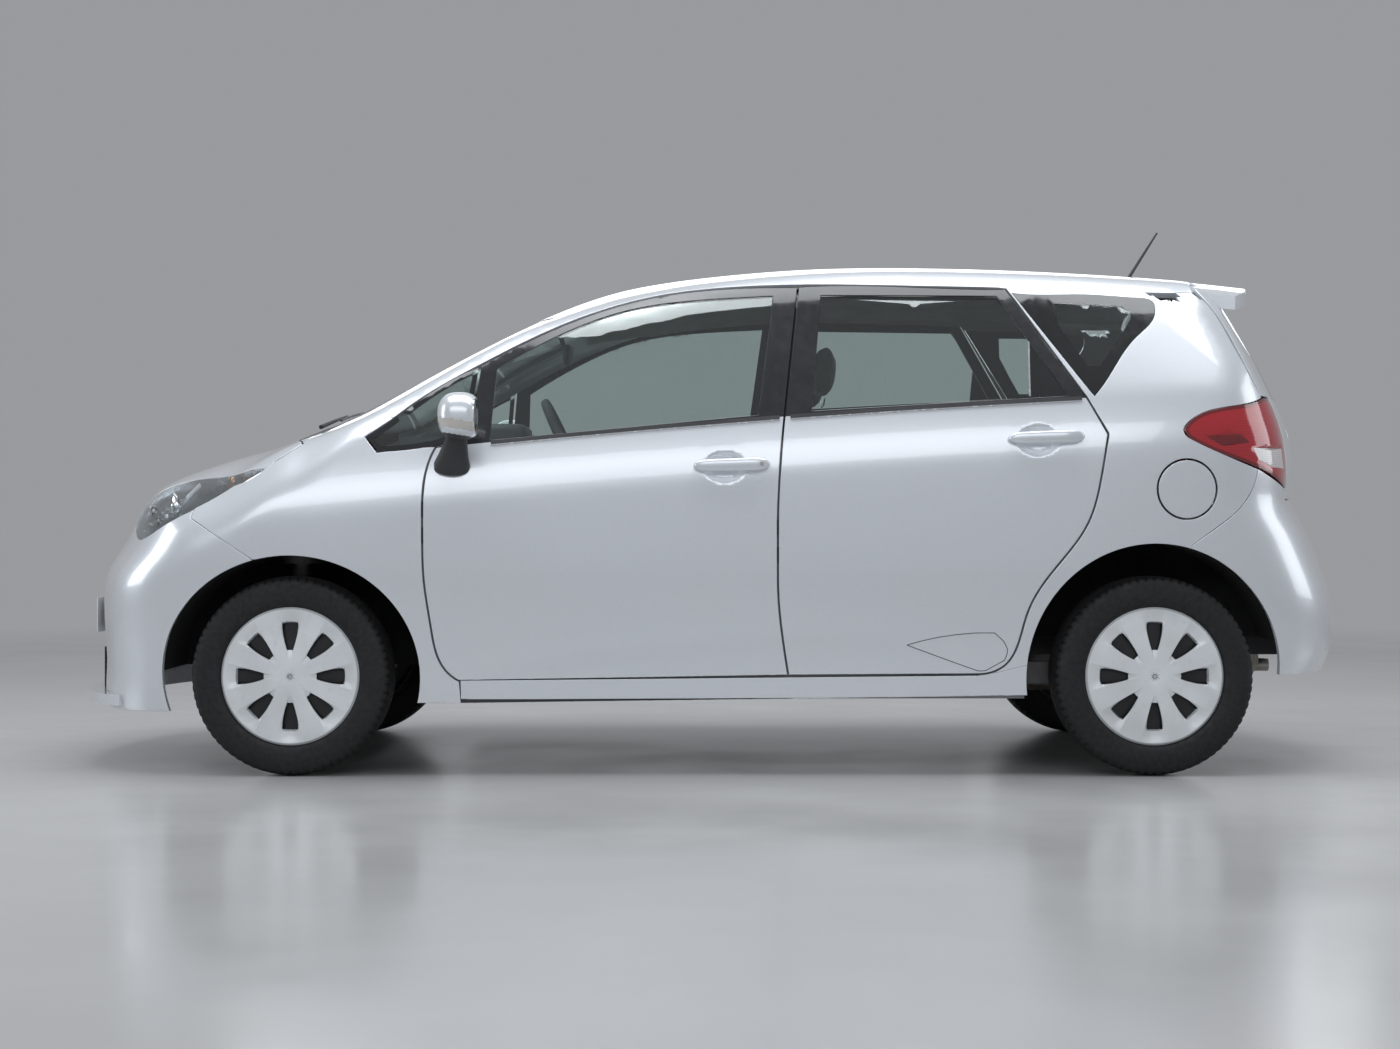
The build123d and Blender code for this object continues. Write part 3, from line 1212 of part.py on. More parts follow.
# ---------------------------------------------------------------- the nodes
def build():
    """Every piece by name, as a list of solids."""
    left_panes = [quarter_pane(), pane(FRONT_QUARTER_GLASS, -1040, -690, True)]
    left_quarter = quarter_skin(LID_HOLE)
    left_side = body_side()
    right_side = [quarter_skin(), *left_side[:-1]]
    left_front = [*door(FRONT_DOOR, FRONT_GLASS, *FRONT_DOOR_SPAN), door_mirror(), *door_handle(58, 920)]
    left_rear = [*door(REAR_DOOR, REAR_GLASS, 170, 1180), *door_handle(982, 1000)]
    left_front_pane = pane(FRONT_GLASS, -700, 220)
    left_rear_pane = pane(REAR_GLASS, 270, 1080)
    left_fender = fender()
    left_lamp = headlamp() - left_fender
    left_tail = tail_lamp() - left_quarter
    liners = left_liners()
    nodes = {
        "underbody": underbody(),
        "roof_panel": roof_panel(),
        "fenders": both(left_fender),
        "front_bumper": [*front_bumper(), front_plate()],
        "rear_bumper": [rear_bumper()],
        "windscreen": [windscreen()],
        "fixed_side_glass": [*left_panes, *map(mirrored, left_panes)],
        "cowl": cowl(),
        "grille": grille(),
        "headlamps": both(left_lamp),
        "tail_lamps": both(left_tail),
        "wheel_liners": [*liners, *map(mirrored, liners)],
        "engine": engine(),
        "front_suspension": [front_suspension()],
        "rear_axle": [rear_axle()],
        "exhaust": [exhaust()],
        "dashboard": dashboard(),
        "front_seats": front_seats(),
        "rear_seat": rear_seat(),
        "antenna": [antenna()],
        "steering_wheel": [steering_wheel()],
        "hood": hood(),
        "tailgate": [*tailgate(), rear_plate()],
        "tailgate_glass": [tailgate_glass()],
        "fuel_lid": [fuel_lid()],
    }
    nodes["body_side_left"] = [left_quarter, *left_side]
    nodes["body_side_right"] = list(map(mirrored, right_side))
    carried = {
        "front_door": left_front,
        "rear_door": left_rear,
        "front_door_glass": [left_front_pane],
        "rear_door_glass": [left_rear_pane],
    }
    for piece, solids in carried.items():
        nodes[f"{piece}_left"] = solids
        nodes[f"{piece}_right"] = list(map(mirrored, solids))
    for side, name in ((-1, "left"), (1, "right")):
        nodes[f"knuckle_{name}"] = [knuckle(side)]
        for end, axle_x in (("front", FRONT_AXLE_X), ("rear", REAR_AXLE_X)):
            nodes[f"{end}_wheel_{name}"] = [wheel(axle_x, side)]
            nodes[f"{end}_tyre_{name}"] = [tyre(axle_x, side)]
    return nodes


os.makedirs("parts", exist_ok=True)
for node_name, solids in build().items():
    export_step(Compound([solid for shape in solids for solid in shape.solids()]), f"parts/{node_name}.step")
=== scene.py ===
import json
import math

import bmesh
import bpy
import numpy as np
from mathutils import Matrix, Vector, geometry

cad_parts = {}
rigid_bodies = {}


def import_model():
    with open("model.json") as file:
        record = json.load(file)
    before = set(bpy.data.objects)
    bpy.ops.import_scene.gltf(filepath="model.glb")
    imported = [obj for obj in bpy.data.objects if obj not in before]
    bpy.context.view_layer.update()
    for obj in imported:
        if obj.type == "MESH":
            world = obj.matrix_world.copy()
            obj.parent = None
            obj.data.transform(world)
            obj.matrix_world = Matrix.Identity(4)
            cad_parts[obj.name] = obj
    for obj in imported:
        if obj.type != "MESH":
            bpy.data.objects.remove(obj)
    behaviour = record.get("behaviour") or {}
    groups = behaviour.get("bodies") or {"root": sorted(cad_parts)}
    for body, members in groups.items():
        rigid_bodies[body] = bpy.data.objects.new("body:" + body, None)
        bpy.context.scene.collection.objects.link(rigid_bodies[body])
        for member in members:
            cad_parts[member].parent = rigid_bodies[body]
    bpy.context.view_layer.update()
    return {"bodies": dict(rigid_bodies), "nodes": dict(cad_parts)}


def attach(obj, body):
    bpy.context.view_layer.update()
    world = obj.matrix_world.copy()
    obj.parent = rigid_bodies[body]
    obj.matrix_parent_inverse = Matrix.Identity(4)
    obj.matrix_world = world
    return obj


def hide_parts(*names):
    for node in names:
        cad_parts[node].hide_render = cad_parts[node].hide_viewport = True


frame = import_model()

# Compact minivan. Shapes are worked out in millimetres, +Z up, nose towards -X, left side at -Y.
MM = 0.001
WHEEL_Y = 735
AXLES = (-1244, 1306)
TYRE_RADIUS = 295
PANEL_SPACING = 24


# ---------------------------------------------------------------- the body's shape
def curve(points):
    """Smooth function through points, straight past its ends."""
    u = np.array([p[0] for p in points], float)
    v = np.array([p[1] for p in points], float)
    step = np.diff(u)
    count = len(u)
    matrix = np.eye(count)
    right = np.zeros(count)
    for i in range(1, count - 1):
        matrix[i, i - 1: i + 2] = step[i - 1], 2 * (step[i - 1] + step[i]), step[i]
        right[i] = 3 * ((v[i + 1] - v[i]) / step[i] - (v[i] - v[i - 1]) / step[i - 1])
    c = np.linalg.solve(matrix, right)
    b = np.diff(v) / step - step * (2 * c[:-1] + c[1:]) / 3
    d = (c[1:] - c[:-1]) / (3 * step)

    def value(t):
        t = np.asarray(t, float)
        i = np.clip(np.searchsorted(u, t) - 1, 0, count - 2)
        inside = np.clip(t - u[i], 0, step[i])
        past = t - u[i] - inside
        slope = b[i] + 2 * c[i] * inside + 3 * d[i] * inside ** 2
        return v[i] + b[i] * inside + c[i] * inside ** 2 + d[i] * inside ** 3 + past * slope

    return value


TOP_LINE = curve([(-1850, 815), (-1750, 878), (-1640, 923), (-1500, 966), (-1360, 1003),
                  (-1240, 1047), (-1100, 1113), (-935, 1203), (-754, 1298), (-600, 1374),
                  (-440, 1446), (-300, 1494), (-150, 1524), (50, 1548), (300, 1566),
                  (600, 1570), (900, 1563), (1200, 1548), (1500, 1525), (1700, 1503)])
NOSE_LINE = curve([(150, -1930), (230, -1940), (320, -1938), (430, -1945), (540, -1945),
                   (610, -1930), (680, -1890), (740, -1862), (800, -1845), (900, -1836)])
TAIL_LINE = curve([(280, 1945), (340, 1976), (400, 1988), (470, 1990), (540, 1978),
                   (600, 1958), (670, 1930), (740, 1898), (800, 1866), (870, 1864),
                   (950, 1862), (1043, 1844), (1142, 1803), (1241, 1753), (1341, 1693),
                   (1420, 1643), (1500, 1583)])


def soft(t):
    return np.logaddexp(0, t)


def ramp(a, b, t):
    t = np.clip((t - a) / (b - a), 0, 1)
    return t * t * (3 - 2 * t)


def shoulder_line(x):
    return 925 + 0.083 * x - 1.2e-5 * x * x


def belt_line(x):
    return 1049 + 0.081 * x - 1.4e-5 * x * x


def half_width(x, z):
    wide = 847 - 50 * (np.maximum(650 - z, 0) / 450) ** 2
    wide = wide - 0.30 * 22 * soft((z - shoulder_line(x)) / 22)
    wide = wide - 0.16 * 18 * soft((z - belt_line(x)) / 18)
    wide = wide - 60 * (np.maximum(-x - 1100, 0) / 850) ** 2
    wide = wide - 70 * (np.maximum(x - 1100, 0) / 850) ** 2
    return wide - 1.25e-7 * np.maximum(x - 500, 0) ** 2 * np.maximum(z - belt_line(x), 0)


def top_height(x, y):
    crown = 8 + 47 * (1 - ramp(-1500, -1230, x)) + 57 * ramp(-650, -150, x)
    return TOP_LINE(x - 115 * (y / 650) ** 2) - crown * (y / 600) ** 2


def rounded(a, b, radius):
    power = 2.3
    near_a = np.maximum(radius - a, 0)
    near_b = np.maximum(radius - b, 0)
    corner = radius - (near_a ** power + near_b ** power) ** (1 / power)
    return np.where((near_a == 0) & (near_b == 0), np.minimum(a, b), corner)


def depth(x, y, z):
    """How deep a point lies inside the body."""
    y = np.abs(y)
    steep = np.sqrt(1 + 0.3 * ramp(-500, -700, x))
    roof_edge = 45 + 85 * (1 - ramp(-1250, -1050, x)) + 30 * ramp(-600, -300, x)
    deep = rounded(half_width(x, z) - y, (top_height(x, y) - z) / steep, roof_edge)
    sweep = 200 * (y / 800) ** 2
    deep = rounded(deep, x - NOSE_LINE(z) - sweep, 150 - 60 * ramp(650, 800, z))
    return rounded(deep, TAIL_LINE(z) - sweep - x, 150 - 90 * ramp(1050, 1250, z))


def reach(starts, ways):
    """Where rays from inside the body come to its surface."""
    near = np.zeros(len(starts))
    far = np.full(len(starts), 2500.0)
    for _ in range(36):
        middle = (near + far) / 2
        inside = depth(*(starts + ways * middle[:, None]).T) > 0
        near = np.where(inside, middle, near)
        far = np.where(inside, far, middle)
    return starts + ways * near[:, None]


def inward(points, step=0.5):
    slopes = [depth(*(points + axis).T) - depth(*(points - axis).T) for axis in np.eye(3) * step]
    slopes = np.stack(slopes, axis=-1)
    return slopes / np.linalg.norm(slopes, axis=-1, keepdims=True)


class Side:
    """Left side, unrolled along the car and upwards."""

    def flat(self, points):
        return points[:, [0, 2]]

    def place(self, flat):
        starts = np.stack([flat[:, 0], 0 * flat[:, 0], flat[:, 1]], axis=-1)
        return reach(starts, np.tile([0.0, -1.0, 0.0], (len(flat), 1)))

    def into(self, points):
        return np.tile([0.0, 1.0, 0.0], (len(points), 1))


class Top:
    """Hood, screen and roof, in plan."""

    def flat(self, points):
        return points[:, :2]

    def place(self, flat):
        starts = np.column_stack([flat, np.full(len(flat), 600.0)])
        return reach(starts, np.tile([0.0, 0.0, 1.0], (len(flat), 1)))

    def into(self, points):
        return np.tile([0.0, 0.0, -1.0], (len(points), 1))


class Over:
    """Hood, roof and fenders, unrolled round a line along the car."""

    def __init__(self, height, radius):
        self.height = height
        self.radius = radius

    def flat(self, points):
        turn = np.arctan2(points[:, 1], points[:, 2] - self.height)
        return np.stack([points[:, 0], turn * self.radius], axis=-1)

    def place(self, flat):
        turn = flat[:, 1] / self.radius
        starts = np.stack([flat[:, 0], 0 * turn, 0 * turn + self.height], axis=-1)
        ways = np.stack([0 * turn, np.sin(turn), np.cos(turn)], axis=-1)
        return reach(starts, ways)

    def into(self, points):
        return inward(points)


class End:
    """Nose or tail, unrolled round an upright line."""

    def __init__(self, middle, ahead, radius=800):
        self.middle = middle
        self.ahead = ahead
        self.radius = radius

    def flat(self, points):
        turn = np.arctan2(points[:, 1], self.ahead * (points[:, 0] - self.middle))
        return np.stack([turn * self.radius, points[:, 2]], axis=-1)

    def place(self, flat):
        turn = flat[:, 0] / self.radius
        starts = np.stack([0 * turn + self.middle, 0 * turn, flat[:, 1]], axis=-1)
        ways = np.stack([self.ahead * np.cos(turn), np.sin(turn), 0 * turn], axis=-1)
        return reach(starts, ways)

    def into(self, points):
        return inward(points)


SIDE = Side()
TOP = Top()
ROOF = Over(600, 850)
HOOD = Over(300, 650)
FENDER = Over(600, 800)
NOSE = End(-1150, -1)
TAIL = End(1300, 1)
HATCH = End(1250, 1)
QUARTER = End(900, 1)


# ---------------------------------------------------------------- materials
class Maths:
    """A number in a material's tree; sums on it add Math nodes."""

    def __init__(self, tree, socket):
        self.tree = tree
        self.socket = socket

    def _node(self, kind, *values):
        return self.tree.maths(kind, self, *values)

    def __add__(self, other):
        return self._node("ADD", other)

    def __radd__(self, other):
        return self._node("ADD", other)

    def __mul__(self, other):
        return self._node("MULTIPLY", other)

    def __rmul__(self, other):
        return self._node("MULTIPLY", other)

    def __sub__(self, other):
        return self._node("SUBTRACT", other)

    def __rsub__(self, other):
        return self.tree.maths("SUBTRACT", other, self)

    def __gt__(self, other):
        return self._node("GREATER_THAN", other)

    def __lt__(self, other):
        return self._node("LESS_THAN", other)


class Finish:
    """A node material."""

    def __init__(self, name):
        self.material = bpy.data.materials.new(name)
        self.material.use_nodes = True
        self.nodes = self.material.node_tree.nodes
        self.links = self.material.node_tree.links
        self.shader = self.nodes["Principled BSDF"]
        self.end = self.nodes["Material Output"]

    def put(self, socket, value):
        if isinstance(value, Maths):
            value = value.socket
        if isinstance(value, bpy.types.NodeSocket):
            self.links.new(value, socket)
        else:
            socket.default_value = value

    def node(self, kind, settings=None, out=0, **values):
        made = self.nodes.new(kind)
        for key, value in (settings or {}).items():
            setattr(made, key, value)
        for key, value in values.items():
            found = int(key[1:]) if key[0] == "i" and key[1:].isdigit() else key.replace("_", " ")
            self.put(made.inputs[found], value)
        return made.outputs[out]

    def maths(self, kind, *values):
        made = self.nodes.new("ShaderNodeMath")
        made.operation = kind
        for socket, value in zip(made.inputs, values):
            self.put(socket, value)
        return Maths(self, made.outputs[0])

    def number(self, socket):
        return Maths(self, socket)

    def place(self):
        return self.node("ShaderNodeTexCoord", out=3)

    def axis(self, which):
        split = self.nodes.new("ShaderNodeSeparateXYZ")
        self.links.new(self.place(), split.inputs[0])
        return Maths(self, split.outputs[which])

    def noise(self, scale, detail=2.0, rough=0.5, vector=None):
        made = self.node("ShaderNodeTexNoise", Vector=vector or self.place(), Scale=scale, Detail=detail,
                         Roughness=rough)
        return self.number(made)

    def cells(self, scale, kind="DISTANCE"):
        out = 0 if kind == "DISTANCE" else 1
        return self.node("ShaderNodeTexVoronoi", out=out, Vector=self.place(), Scale=scale)

    def mix(self, factor, a, b):
        return self.node("ShaderNodeMix", {"data_type": "RGBA"}, out=2, i0=factor, i6=(*a, 1) if len(a) == 3 else a,
                         i7=(*b, 1) if len(b) == 3 else b) if not isinstance(a, bpy.types.NodeSocket) else \
            self.node("ShaderNodeMix", {"data_type": "RGBA"}, out=2, i0=factor, i6=a, i7=(*b, 1))

    def steps(self, value, *stops):
        """A grey ramp of the value."""
        made = self.nodes.new("ShaderNodeMapRange")
        low, high, to_low, to_high = stops
        self.put(made.inputs[0], value)
        for socket, number in zip(made.inputs[1:5], (low, high, to_low, to_high)):
            socket.default_value = number
        return Maths(self, made.outputs[0])

    def bump(self, height, strength, distance):
        made = self.node("ShaderNodeBump", Height=height, Strength=strength, Distance=distance)
        self.put(self.shader.inputs["Normal"], made)

    def set(self, **values):
        for key, value in values.items():
            name = key.replace("_", " ")
            if isinstance(value, tuple) and len(value) == 3:
                value = (*value, 1)
            self.put(self.shader.inputs[name], value)
        return self

    def done(self):
        return self.material


def paint():
    """Pearl white with fine flakes under a clear coat."""
    f = Finish("pearl_paint")
    flakes = f.steps(f.number(f.cells(5200, "COLOR")), 0.0, 1.0, 0.0, 1.0)
    cloud = f.noise(2.4, 3)
    tone = f.mix(flakes, (0.60, 0.625, 0.665), (0.70, 0.725, 0.765))
    f.set(Base_Color=f.mix(f.steps(cloud, 0.3, 0.7, 0.0, 0.16), tone, (0.66, 0.68, 0.70)))
    f.set(Metallic=0.35, Roughness=f.steps(f.noise(900), 0.3, 0.7, 0.27, 0.33))
    f.set(Coat_Weight=1.0, Coat_Roughness=0.035, Coat_IOR=1.5, Specular_IOR_Level=0.5)
    return f.done()


def grained(name, colour, rough, grain=1500, strength=0.25):
    """Moulded plastic with a fine grain."""
    f = Finish(name)
    dust = f.steps(f.noise(6, 4), 0.35, 0.75, 0.0, 1.0)
    lighter = tuple(min(1, c * 1.5 + 0.01) for c in colour)
    f.set(Base_Color=f.mix(dust, colour, lighter), Roughness=f.steps(f.noise(30), 0.2, 0.8, rough - 0.07, rough + 0.07))
    f.bump(f.cells(grain), strength, 0.0003)
    return f.done()


def gloss(name, colour, rough=0.12, coat=0.6):
    """Smooth painted or polished plastic."""
    f = Finish(name)
    smear = f.steps(f.noise(9, 4), 0.3, 0.8, 0.0, 1.0)
    lighter = tuple(min(1, c * 1.25 + 0.004) for c in colour)
    f.set(Base_Color=f.mix(smear, colour, lighter), Roughness=f.steps(f.noise(40, 3), 0.3, 0.7, rough, rough + 0.09))
    f.set(Coat_Weight=coat, Coat_Roughness=0.06)
    return f.done()


def metal(name, colour, rough, worn=(0.1, 0.09, 0.08), amount=0.35, bump=0.2):
    """Cast, pressed or machined metal with stains."""
    f = Finish(name)
    stain = f.steps(f.noise(14, 6, 0.65), 0.45, 0.75, 0.0, amount)
    f.set(Base_Color=f.mix(stain, colour, worn), Metallic=0.9)
    f.set(Roughness=f.steps(f.noise(60, 4), 0.2, 0.8, rough - 0.08, rough + 0.12))
    f.bump(f.noise(420, 4), bump, 0.0004)
    return f.done()


def chrome(name="chrome", rough=0.05):
    f = Finish(name)
    f.set(Base_Color=f.mix(f.steps(f.noise(20), 0.3, 0.7, 0, 1), (0.86, 0.87, 0.88), (0.78, 0.79, 0.8)))
    f.set(Metallic=1.0, Roughness=f.steps(f.noise(80), 0.3, 0.7, rough, rough + 0.05))
    return f.done()


def see_through(name, tint, mirror=0.05, clear=1.0):
    """Thin glass or lens: what is behind it, dyed, under a faint reflection."""
    f = Finish(name)
    f.nodes.remove(f.shader)
    dirt = f.steps(f.noise(5, 4), 0.4, 0.8, 0.0, 0.05)
    shade = f.mix(dirt, tint, tuple(c * 0.9 for c in tint))
    through = f.node("ShaderNodeBsdfTransparent", Color=shade)
    shine = f.node("ShaderNodeBsdfGlossy", Color=(1, 1, 1, 1), Roughness=0.02)
    edge = f.number(f.node("ShaderNodeLayerWeight", Blend=0.28))
    factor = f.steps(edge, 0.0, 1.0, mirror, 0.85)
    f.links.new(f.node("ShaderNodeMixShader", i0=factor, i1=through, i2=shine), f.end.inputs[0])
    return f.done()


def lens_red(name, colour, dark):
    """Moulded red lens with upright optics."""
    f = Finish(name)
    ribs = f.number(f.node("ShaderNodeTexWave", {"wave_type": "BANDS", "bands_direction": "Z"}, out=1,
                           Vector=f.place(), Scale=52.0, Distortion=0.0))
    f.set(Base_Color=f.mix(f.steps(ribs, 0.1, 0.9, 0.0, 0.55), colour, dark))
    f.set(Roughness=f.steps(f.noise(60), 0.3, 0.7, 0.06, 0.12), Coat_Weight=1.0, Coat_Roughness=0.02)
    f.bump(ribs, 0.12, 0.0012)
    return f.done()


def rubber():
    f = Finish("tyre_rubber")
    dusty = f.steps(f.noise(16, 5, 0.6), 0.42, 0.8, 0.0, 0.6)
    f.set(Base_Color=f.mix(dusty, (0.004, 0.004, 0.0045), (0.010, 0.010, 0.010)))
    f.set(Roughness=f.steps(f.noise(70, 3), 0.3, 0.7, 0.62, 0.8))
    f.bump(f.noise(900, 3), 0.35, 0.0004)
    return f.done()


def cloth(name, colour, light):
    """Woven seat cloth with a soft sheen."""
    f = Finish(name)
    warp = f.number(f.node("ShaderNodeTexWave", {"bands_direction": "Y"}, out=1, Vector=f.place(), Scale=260.0,
                           Distortion=0.6))
    weft = f.number(f.node("ShaderNodeTexWave", {"bands_direction": "Z"}, out=1, Vector=f.place(), Scale=260.0,
                           Distortion=0.6))
    weave = warp * weft
    blotch = f.steps(f.noise(25, 4), 0.3, 0.7, 0.0, 0.4)
    f.set(Base_Color=f.mix(f.steps(weave + blotch, 0.0, 1.2, 0.0, 1.0), colour, light), Roughness=0.92)
    f.set(Sheen_Weight=0.35, Sheen_Roughness=0.5)
    f.bump(weave, 0.4, 0.0006)
    return f.done()


def net(name):
    """Black air intake net, its holes painted near-black as shade."""
    f = Finish(name)
    holes_shade_and_relief = f.steps(f.number(f.cells(60)), 0.25, 0.4, 0.0, 1.0)
    # the holes are painted near-black as the shade behind the net; the same mask also bumps them
    f.set(Base_Color=f.mix(holes_shade_and_relief, (0.004, 0.004, 0.004), (0.03, 0.03, 0.032)), Roughness=0.6)
    f.bump(holes_shade_and_relief, 0.7, 0.004)
    return f.done()


M = {}


def make_materials():
    M["paint"] = paint()
    M["black"] = gloss("window_frame_black", (0.012, 0.013, 0.015), 0.16, 0.5)
    M["frit"] = gloss("glass_border", (0.006, 0.007, 0.008), 0.06, 0.9)
    M["seal"] = grained("rubber_seal", (0.01, 0.01, 0.011), 0.6, 900)
    M["black_plastic"] = grained("black_plastic", (0.018, 0.018, 0.02), 0.5)
    M["trim"] = grained("cabin_plastic", (0.075, 0.078, 0.082), 0.62, 1100)
    M["trim_light"] = grained("cabin_light_plastic", (0.30, 0.31, 0.31), 0.66, 1100)
    M["liner"] = grained("headliner_cloth", (0.42, 0.43, 0.42), 0.9, 700, 0.4)
    # inner body and hood frame painted dark grey as painted shade, so panel gaps and openings read dark
    M["frame_metal"] = grained("inner_body_painted_shade", (0.16, 0.165, 0.175), 0.5, 400, 0.1)
    M["under"] = grained("underseal", (0.035, 0.035, 0.037), 0.75, 260, 0.6)
    # arch liner darkened to near black: partly its own black plastic, partly painted shade inside the wheel arches
    M["arch_liner_shaded"] = grained("arch_liner_black_and_shade", (0.001, 0.001, 0.0012), 0.95, 300, 0.4)
    M["cover"] = gloss("wheel_cover_silver", (0.60, 0.62, 0.64), 0.26, 0.35)
    # near-black painted shade on the floor of each wheel-cover slot
    M["slot_painted_shade"] = gloss("wheel_slot_shade", (0.006, 0.006, 0.007), 0.5, 0.0)
    M["steel"] = metal("rim_steel", (0.10, 0.10, 0.105), 0.45)
    M["disc"] = metal("brake_disc", (0.42, 0.41, 0.40), 0.3, (0.22, 0.10, 0.05), 0.5)
    M["cast"] = metal("cast_iron", (0.13, 0.13, 0.135), 0.55, (0.16, 0.08, 0.045), 0.45, 0.5)
    M["aluminium"] = metal("engine_aluminium", (0.46, 0.47, 0.48), 0.42, (0.08, 0.07, 0.06), 0.4, 0.4)
    M["exhaust"] = metal("exhaust_steel", (0.36, 0.34, 0.31), 0.38, (0.16, 0.09, 0.05), 0.6)
    M["chrome"] = chrome()
    M["mirror_glass"] = chrome("mirror_glass")
    M["glass"] = see_through("tinted_glass", (0.885, 0.94, 0.925), 0.045)
    M["lens"] = see_through("clear_lens", (0.90, 0.93, 0.95), 0.06)
    M["lamp_red"] = lens_red("red_lens", (0.42, 0.012, 0.02), (0.20, 0.006, 0.012))
    M["lamp_red_dark"] = lens_red("dark_red_lens", (0.16, 0.006, 0.01), (0.09, 0.004, 0.008))
    M["lamp_clear"] = lens_red("reverse_lens", (0.62, 0.60, 0.60), (0.45, 0.42, 0.42))
    M["lamp_amber"] = lens_red("amber_bulb", (0.62, 0.22, 0.03), (0.4, 0.12, 0.02))
    M["tyre"] = rubber()
    M["cloth"] = cloth("seat_cloth", (0.020, 0.022, 0.027), (0.055, 0.060, 0.070))
    M["net"] = net("intake_net")
    M["plate"] = gloss("bare_plate", (0.62, 0.63, 0.63), 0.3, 0.3)
    M["turn_light"] = gloss("turn_light_lens", (0.45, 0.43, 0.40), 0.08, 1.0)
    M["silver"] = chrome("lamp_reflector", 0.16)
    # dark grey painted shade for the hollow reflector bowls inside the headlamp
    M["lamp_bowl_shade"] = gloss("lamp_bowl_painted_shade", (0.05, 0.052, 0.055), 0.1, 0.6)
    M["bright"] = metal("bright_moulding", (0.62, 0.64, 0.66), 0.22, (0.3, 0.3, 0.3), 0.2, 0.05)


# ---------------------------------------------------------------- making meshes
def solid(name, points, faces, materials, which=None, body="car_body", slot="paint", millimetres=True,
          bevel=0.0, crisp=38, smooth=True, hold=None):
    """A piece of the scene from points and faces, riding on a body."""
    mesh = bpy.data.meshes.new(name)
    points = np.asarray(points, float)
    mesh.from_pydata((points * (MM if millimetres else 1)).tolist(), [], [list(map(int, f)) for f in faces])
    for material in materials:
        mesh.materials.append(M[material])
    if which is not None:
        mesh.polygons.foreach_set("material_index", np.asarray(which, np.int32))
    piece = bpy.data.objects.new(name, mesh)
    bpy.context.collection.objects.link(piece)
    dress(piece, bevel, crisp, smooth)
    if hold:
        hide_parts(*hold)
    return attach(piece, body)


def dress(piece, bevel=0.0, crisp=38, smooth=True):
    """Smooth faces, crisp edges and, if asked, a small rounding."""
    mesh = piece.data
    mesh.polygons.foreach_set("use_smooth", np.full(len(mesh.polygons), smooth))
    if bevel:
        rounding = piece.modifiers.new("rounding", "BEVEL")
        rounding.width = bevel * MM
        rounding.segments = 2
        rounding.limit_method = "ANGLE"
        rounding.angle_limit = math.radians(crisp + 12)
        rounding.use_clamp_overlap = True
    elif smooth:
        mesh.set_sharp_from_angle(angle=math.radians(crisp))
    if smooth:
        even = piece.modifiers.new("even", "WEIGHTED_NORMAL")
        even.keep_sharp = True


def joined(*lumps):
    """Several (points, faces, which) as one."""
    points, faces, which = [], [], []
    for p, f, w in lumps:
        start = sum(len(q) for q in points)
        points.append(np.asarray(p, float))
        faces += [[i + start for i in face] for face in f]
        which += list(w)
    return np.concatenate(points), faces, which


def flipped(lump):
    """The other side of the car's twin."""
    points, faces, which = lump
    return np.asarray(points) * [1, -1, 1], [list(face)[::-1] for face in faces], which


def spun(profile, steps, centre, side=-1, closed=True, which=0):
    """Ring about a wheel's axis from (outboard, radius) points."""
    turn = np.linspace(0, 2 * math.pi, steps, endpoint=False)
    count = len(profile)
    points = [[centre[0] + r * math.cos(a), centre[1] + side * o, centre[2] + r * math.sin(a)]
              for a in turn for o, r in profile]
    faces = []
    for i in range(steps):
        j = (i + 1) % steps
        for k in range(count if closed else count - 1):
            m = (k + 1) % count
            face = [i * count + k, i * count + m, j * count + m, j * count + k]
            faces.append(face if side > 0 else face[::-1])
    return points, faces, [which] * len(faces)


def tube(path, radius, sides=10, which=0, ends=True):
    """Round bar along points, radius a number or one for each point."""
    path = np.asarray(path, float)
    radius = np.broadcast_to(radius, len(path))
    way = np.gradient(path, axis=0)
    way /= np.linalg.norm(way, axis=1, keepdims=True)
    up = np.array([0, 0, 1.0]) if abs(way[0][2]) < 0.9 else np.array([1.0, 0, 0])
    points = []
    for p, w, r in zip(path, way, radius):
        a = np.cross(w, up)
        a /= np.linalg.norm(a)
        b = np.cross(a, w)
        for i in range(sides):
            t = 2 * math.pi * i / sides
            points.append(p + r * (math.cos(t) * a + math.sin(t) * b))
    faces = []
    for i in range(len(path) - 1):
        for k in range(sides):
            m = (k + 1) % sides
            faces.append([i * sides + k, (i + 1) * sides + k, (i + 1) * sides + m, i * sides + m])
    if ends:
        faces.append(list(range(sides)))
        faces.append([(len(path) - 1) * sides + k for k in range(sides)][::-1])
    return points, faces, [which] * len(faces)


# ---------------------------------------------------------------- panels over the CAD outlines
def cad_mesh(node):
    """A node's triangles with shared corners, in millimetres."""
    work = bmesh.new()
    work.from_mesh(frame["nodes"][node].data)
    bmesh.ops.remove_doubles(work, verts=work.verts, dist=2e-5)
    bmesh.ops.triangulate(work, faces=work.faces)
    work.verts.index_update()
    points = np.array([v.co for v in work.verts]) / MM
    corners = np.array([[v.index for v in face.verts] for face in work.faces])
    work.free()
    return points, corners


